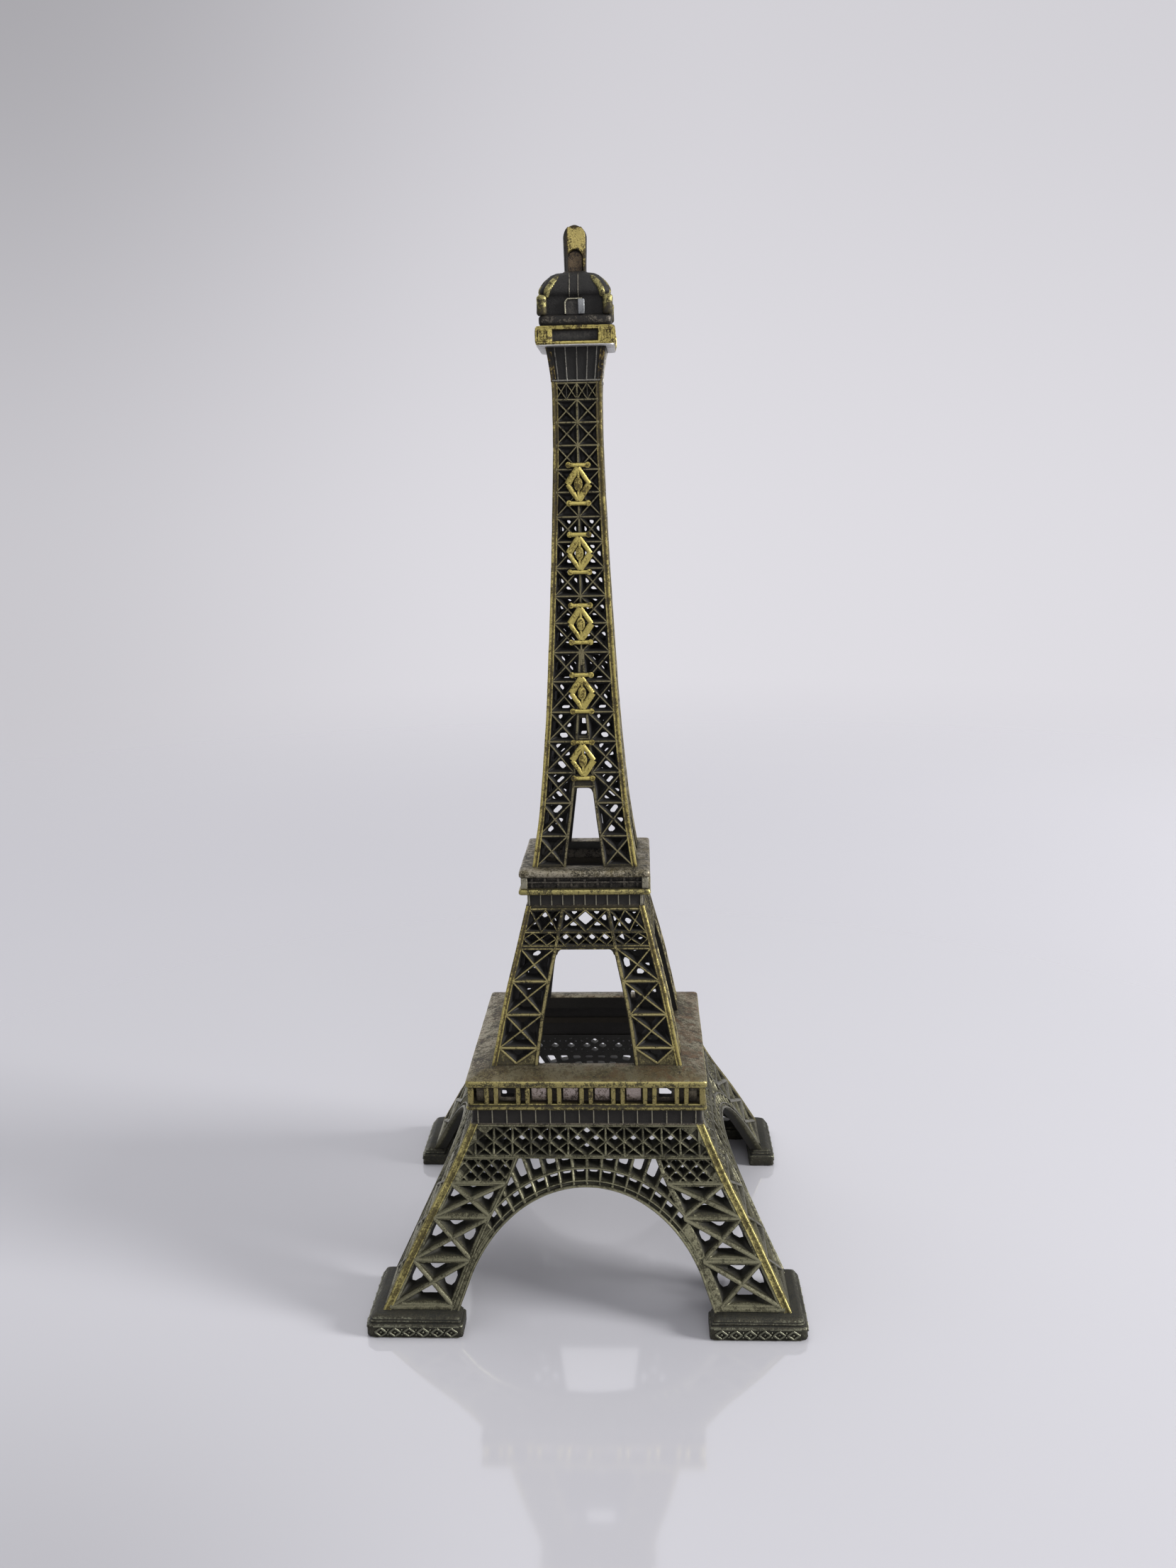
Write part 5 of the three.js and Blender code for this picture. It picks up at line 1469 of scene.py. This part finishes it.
on_band = lambda x, z, d: (x, -gh + d, z)
for sx in (-1, 1):
    c = sx * 5.15
    for a, b in (((c - 0.75, 161.45), (c + 0.75, 161.45)), ((c - 0.75, 163.05), (c + 0.75, 163.05)), ((c - 0.75, 161.4), (c - 0.75, 163.1)),
                 ((c + 0.75, 161.4), (c + 0.75, 163.1)), ((c - 0.25, 161.6), (c - 0.25, 162.9)), ((c + 0.25, 161.6), (c + 0.25, 162.9))):
        ends.join(bar_between(a, b, 0.22, 0.3, raise_to=-0.10, edge=0.07, place=on_band))
for q in range(4):
    t.join(ends.turned(q))
to_object("gallery_band", t, MAT_GOLD, ["top_gallery_band"])

ph = PL[1][0]
s = square_body([(ph - 0.3, PL[0][2] - 0.3), (ph - 0.05, PL[0][2] + 0.05), (ph, PL[0][2] + 0.3), (ph, PL[1][2] - 0.25), (ph - 0.12, PL[1][2]), (ph - 0.5, PL[1][2] + 0.3)],
                r=0.6, deps=[0.3, 0.15, 0.1, 0.1, 0.1, 0.4])
to_object("dome_base", s, MAT_DOME, ["dome_plinth"])

# ------------------------------------------------------------------ dome, ribs, bosses, door, finial
z0, z1 = DM[0][2] - 0.2, DM[1][2] + 0.25
DOME_OUT = [(165.4, 5.15), (168.3, 5.2), (168.7, 5.55), (169.1, 5.7), (169.6, 5.6), (170.2, 5.25), (170.8, 4.85), (171.3, 4.45), (171.8, 4.0), (172.2, 3.3), (172.45, 2.3)]


def dome_half(z):
    return table(DOME_OUT, z)


zs = [165.4, 166.5, 167.6, 168.3, 168.5, 168.7, 168.9, 169.1, 169.35, 169.6, 169.9, 170.2, 170.5, 170.8, 171.05, 171.3, 171.55, 171.8, 172.0, 172.2, 172.45]
s = square_body([(dome_half(z), z) for z in zs], side=8, n=6, rfun=lambda h, z: 1.15 if z > 168.4 else 0.6)
s.d = [0.35] * len(s.v)
on_dome = lambda x, z, d: (x, -dome_half(z) + d, z)
t = Solid()
gold_ribs = Solid()
for q in range(4):
    f = Solid()
    for x in (-0.86, 0.60):
        f.join(bar_between((x, z0 + 0.3), (x * 0.96, z1 - 0.25), 0.2, 0.4, raise_to=-0.1, edge=0.06, place=on_dome, seg=16))
    t.join(f.turned(q))
    for sx in (-1, 1):
        loops, deps = [], []
        for z in frange(168.2, 172.15, 16):
            x = sx * table([(168.2, 4.62), (169.4, 4.3), (170.7, 3.55), (171.6, 2.85), (172.15, 2.3)], z)
            w = table([(168.2, 0.9), (169.2, 1.15), (170.6, 1.2), (171.6, 1.0), (172.15, 0.6)], z)
            yb = -table([(168.2, 5.45), (169.1, 5.72), (169.6, 5.62), (170.2, 5.3), (170.8, 4.9), (171.3, 4.4), (171.8, 3.8), (172.2, 3.1)], z)
            loops.append([(x + u * w, yb + d, z) for u, d in ((-0.5, 0.5), (-0.5, 0.02), (-0.3, -0.16), (0.0, -0.22), (0.3, -0.16), (0.5, 0.02), (0.5, 0.5))])
            deps.append([0.4, 0.22, 0.05, 0, 0.05, 0.22, 0.4])
        gold_ribs.join(loft(loops, deps).turned(q))
to_object("dome_shell", s, MAT_DOME, ["dome"], sharp=50)
to_object("dome_fine_ribs", t, MAT_LINE)
to_object("dome_ribs", gold_ribs, MAT_BOSS, sharp=60)

def _sq(a):
    c, q = math.cos(a), math.sin(a)
    return (math.copysign(abs(c) ** 0.72, c), math.copysign(abs(q) ** 0.72, q))


for name in ("front_left", "front_right", "rear_right", "rear_left"):
    lo, hi = node_box("dome_boss_" + name)
    cx, cy = (lo[0] + hi[0]) / 2, (lo[1] + hi[1]) / 2
    r = (hi[0] - lo[0]) / 2
    loops = []
    for k, z in ((0.7, lo[2] - 0.15), (0.94, lo[2] + 0.05), (1.0, lo[2] + 0.3), (0.97, lo[2] + 1.0), (0.96, hi[2] - 1.0),
                 (1.0, hi[2] - 0.55), (0.92, hi[2] - 0.2), (0.66, hi[2] + 0.02), (0.25, hi[2] + 0.12)):
        loops.append([(cx + r * k * _sq(2 * math.pi * i / 24)[0], cy + r * k * _sq(2 * math.pi * i / 24)[1], z) for i in range(24)])
    to_object("boss_" + name, loft(loops), MAT_BOSS, ["dome_boss_" + name], sharp=60)

lo, hi = node_box("dome_door_block")
# Painted shade: the recessed door block is near black, with a grey leaf over its right part.
s = chamfer_box(lo[0] + 0.1, hi[0] - 0.1, lo[1] + 0.25, -4.9, lo[2] - 0.15, hi[2] - 0.1, b=0.1)
to_object("door_block", s, MAT_INNER_SHADE, ["dome_door_block"])
t = Solid()
pl = lambda x, z, d: (x, lo[1] + 0.1 + d, z)
pts = [(lo[0] + 0.05, lo[2]), (lo[0] + 0.05, hi[2] - 0.5), (lo[0] + 0.45, hi[2]), (hi[0] - 0.35, hi[2])]
for a, b in zip(pts, pts[1:]):
    t.join(bar_between(a, b, 0.22, 0.5, raise_to=-0.05, edge=0.06, place=pl))
to_object("door_frame", t, MAT_RIB)
t = chamfer_box(0.55, hi[0], lo[1] - 0.02, -4.9, lo[2] - 0.05, hi[2] - 0.02, b=0.14)
to_object("door_leaf", t, MAT_LEAF)

# finial: rounded tab with an arched recess on the front and back
fw, fd = FN[1][0], FN[1][1]
fz0, fz1 = 172.35, FN[1][2]


def fin_half(z):
    zr = fz1 - 2.1
    if z < zr:
        return fw - 0.12 * (1 - (z - fz0) / (zr - fz0))
    u = (z - zr) / (fz1 - zr)
    return max(0.25, fw * max(0.0, 1 - u ** 2.3) ** (1 / 2.1))


def fin_outline(depth, e):
    zr = fz1 - 2.1
    zz = frange(fz0 - 0.25, zr, 6) + [zr + 2.1 * math.sin(math.pi / 2 * i / 22) for i in range(1, 23)]
    k = 0.0 if depth > 0.35 else 0.35 - depth
    left = [(-max(0.2, fin_half(z) - k * 0.75), z if z < fz1 - 0.4 else z - k * 0.6) for z in zz]
    return ccw(left + [(-x, z) for x, z in left[::-1]])


def fin_recess():
    pts = [(-1.36, fz0 + 0.05), (1.36, fz0 + 0.05)]
    pts += [(1.36 * math.cos(a), 174.75 + 1.5 * math.sin(a)) for a in frange(0, math.pi, 10)]
    pts = ccw(pts)
    def sh(k, dz=0.0):
        cx, cz = 0, 174.3
        return [(cx + (x - cx) * k, cz + (z - cz) * k + dz) for x, z in pts]
    return [sh(1.0), sh(0.94), sh(0.86), sh(0.80)], [0.0, 0.12, 0.45, 0.75], False


def fin_plate(th):
    s = Solid()
    return plate(lambda d, e: fin_outline(d, e), [fin_recess()], th, 0.0, 0.12, lambda x, z, d: (x, -fd + d, z))


half_f = fin_plate(fd)
rev = half_f.turned(2)
s = Solid().join(half_f).join(rev)
to_object("finial_tab", s, MAT_FINIAL, ["finial"], sharp=45)
# A dark sheet inside each arched recess: patina of the hollow plus painted shade.
t = Solid()
for q in (0, 2):
    p = [(x * 0.97, z) for x, z in fin_recess()[0][2]]
    loops = [[(x, -fd + d, z) for x, z in p] for d in (0.55, 0.9)]
    t.join(loft(loops).turned(q))
to_object("finial_recess_face", t, MAT_RECESS)
col_s = None
# base of the finial on the dome
s = square_body([(2.15, 171.9), (2.2, 172.25), (2.05, 172.5), (1.8, 172.7)], r=0.4)
to_object("finial_seat", s, MAT_DOME)

# ------------------------------------------------------------------ floor, light, camera
def painted_shade_falloff(n, k=1.0):
    """Painted shade: a soft darkening of the backdrop towards the left and the corners of the picture."""
    sp = n.new("ShaderNodeSeparateXYZ")
    n.link(n.new("ShaderNodeTexCoord").outputs["Window"], sp.inputs[0])
    x, y = sp.outputs["X"], sp.outputs["Y"]
    side = n.ramp(x, (-0.05, 0.5, 1 - 0.21 * k, 1.0))
    high = n.math("MULTIPLY", n.ramp(y, (0.62, 1.05, 0.0, 1.0)), n.ramp(x, (0.0, 0.65, 0.32, 0.12)))
    low = n.math("MULTIPLY", n.ramp(y, (-0.02, 0.2, 1.0, 0.0)), n.ramp(x, (0.0, 0.5, 0.22, 0.04)))
    v = n.math("SUBTRACT", 1.0, n.math("ADD", high, low))
    v = n.math("MULTIPLY", v, side)
    grey = n.new("ShaderNodeCombineColor")
    for i in range(3):
        n.link(v, grey.inputs[i])
    return grey.outputs[0]


def floor_material():
    mat = bpy.data.materials.new("floor")
    nt = nodes_of(mat)
    n = Net(nt)
    out = n.new("ShaderNodeOutputMaterial")
    bsdf = n.new("ShaderNodeBsdfPrincipled")
    clear = n.new("ShaderNodeBsdfTransparent")
    mixer = n.new("ShaderNodeMixShader")
    co = n.new("ShaderNodeTexCoord").outputs["Object"]
    f = n.noise(co, 3.0, 2, 0.5)
    c = n.mix(f, (0.49, 0.483, 0.512), (0.515, 0.508, 0.538))
    far = n.new("ShaderNodeVectorMath", operation="LENGTH")
    n.link(co, far.inputs[0])
    away = far.outputs["Value"]
    c = n.mix(n.ramp(away, (0.15, 0.9, 0.0, 1.0)), c, (0.62, 0.612, 0.645))
    # painted shade on the table colour, darker towards the left and the corners of the picture
    c = n.mix(1.0, c, painted_shade_falloff(n, 0.15), "MULTIPLY")
    n.link(c, bsdf.inputs["Base Color"])
    n.link(n.ramp(away, (0.13, 0.26, 0.07, 0.5)), bsdf.inputs["Roughness"])
    # duller between the legs: a staging choice, not a property of the table
    gloss = n.math("MULTIPLY", n.ramp(away, (0.13, 0.40, 0.5, 0.05)), n.ramp(away, (0.024, 0.040, 0.15, 1.0)))
    n.link(gloss, bsdf.inputs["Specular IOR Level"])
    bsdf.inputs["IOR"].default_value = 2.25
    # the table fades into the backdrop far behind the model
    n.link(n.ramp(away, (0.24, 0.80, 0.0, 1.0)), mixer.inputs[0])
    n.link(bsdf.outputs[0], mixer.inputs[1])
    n.link(clear.outputs[0], mixer.inputs[2])
    n.link(mixer.outputs[0], out.inputs[0])
    return mat


def build_stage():
    me = bpy.data.meshes.new("floor")
    ring = [(3.0 * math.cos(a), 3.0 * math.sin(a), 0.0) for a in frange(0, 2 * math.pi, 48)[:-1]]
    me.from_pydata(ring, [], [list(range(len(ring)))])
    me.materials.append(floor_material())
    ob = bpy.data.objects.new("floor", me)
    bpy.context.scene.collection.objects.link(ob)
    return ob


def area(name, loc, target, size, power, color=(1, 1, 1)):
    li = bpy.data.lights.new(name, "AREA")
    li.energy = power
    li.color = color
    li.size = size
    ob = bpy.data.objects.new(name, li)
    ob.location = loc
    ob.rotation_euler = (Vector(target) - Vector(loc)).to_track_quat("-Z", "Y").to_euler()
    bpy.context.scene.collection.objects.link(ob)
    return ob


def link_light(light, floor, state):
    """Lights or leaves out the floor, so that the softboxes make no glare on the table."""
    group = bpy.data.collections.new(light.name + "_receivers")
    group.objects.link(floor)
    light.light_linking.receiver_collection = group
    for item in group.collection_objects:
        item.light_linking.link_state = state


table_top = build_stage()
stage = [table_top]
for name, loc, target, size, power in (
        ("key", (0.95, -0.28, 0.50), (0, 0, 0.05), 0.36, 17.0),
        ("front", (0.15, -1.1, 0.75), (0, 0, 0.08), 0.9, 4.0),
        ("top", (-0.1, 0.3, 1.2), (0, 0.1, 0.05), 0.9, 3.0)):
    lamp = area(name, loc, target, size, power)
    link_light(lamp, table_top, "EXCLUDE")
    if name == "key":
        loc, size, power = (1.0, -0.2, 0.36), 0.30, 19.0
    elif name == "top":
        loc, size, power = (-0.4, 0.45, 1.1), 1.1, 5.6
    twin = area(name + "_table", loc, target, size, power)
    twin.visible_glossy = False
    link_light(twin, table_top, "INCLUDE")
    stage += [lamp, twin]

back = area("back_fill", (-0.7, 0.8, 0.35), (0, 0, 0.07), 0.8, 2.2)
link_light(back, table_top, "EXCLUDE")
stage.append(back)

world = bpy.data.worlds.new("world")
bpy.context.scene.world = world
world.use_nodes = True
wn = Net(world.node_tree)
bg = world.node_tree.nodes["Background"]
bg.inputs[1].default_value = 1.0
look = wn.new("ShaderNodeTexCoord").outputs["Generated"]
axes = wn.new("ShaderNodeSeparateXYZ")
wn.link(look, axes.inputs[0])
soft = wn.mix(wn.ramp(axes.outputs["Y"], (0.0, 0.6, 0.0, 1.0)), (0.447, 0.452, 0.478), (0.60, 0.595, 0.625))
# the backdrop seen by the camera, with painted shade towards the left and the corners of the picture
drop = wn.mix(1.0, (0.735, 0.722, 0.765), painted_shade_falloff(wn), "MULTIPLY")
seen = wn.new("ShaderNodeLightPath").outputs["Is Camera Ray"]
wn.link(wn.mix(seen, soft, drop), bg.inputs[0])

cam = bpy.data.cameras.new("camera")
cam.sensor_fit = "AUTO"
cam.sensor_width = 36
cam.lens = 29.506
cam.clip_start = 0.01
cam.clip_end = 20
cam_ob = bpy.data.objects.new("camera", cam)
yaw, pitch, roll = -0.0441, 0.2157, -0.019
fwd = Vector((math.sin(yaw) * math.cos(pitch), math.cos(yaw) * math.cos(pitch), -math.sin(pitch)))
right = Vector((math.cos(yaw), -math.sin(yaw), 0))
up = right.cross(fwd)
r2 = right * math.cos(roll) + up * math.sin(roll)
u2 = -right * math.sin(roll) + up * math.cos(roll)
cam_ob.matrix_world = Matrix(((r2.x, u2.x, -fwd.x, 0.0104), (r2.y, u2.y, -fwd.y, -0.2251), (r2.z, u2.z, -fwd.z, 0.1357), (0, 0, 0, 1)))
bpy.context.scene.collection.objects.link(cam_ob)
bpy.context.scene.camera = cam_ob
stage.append(cam_ob)

vs = bpy.context.scene.view_settings
vs.view_transform = "Standard"
vs.look = "None"
vs.exposure = 0.0
vs.gamma = 1.0
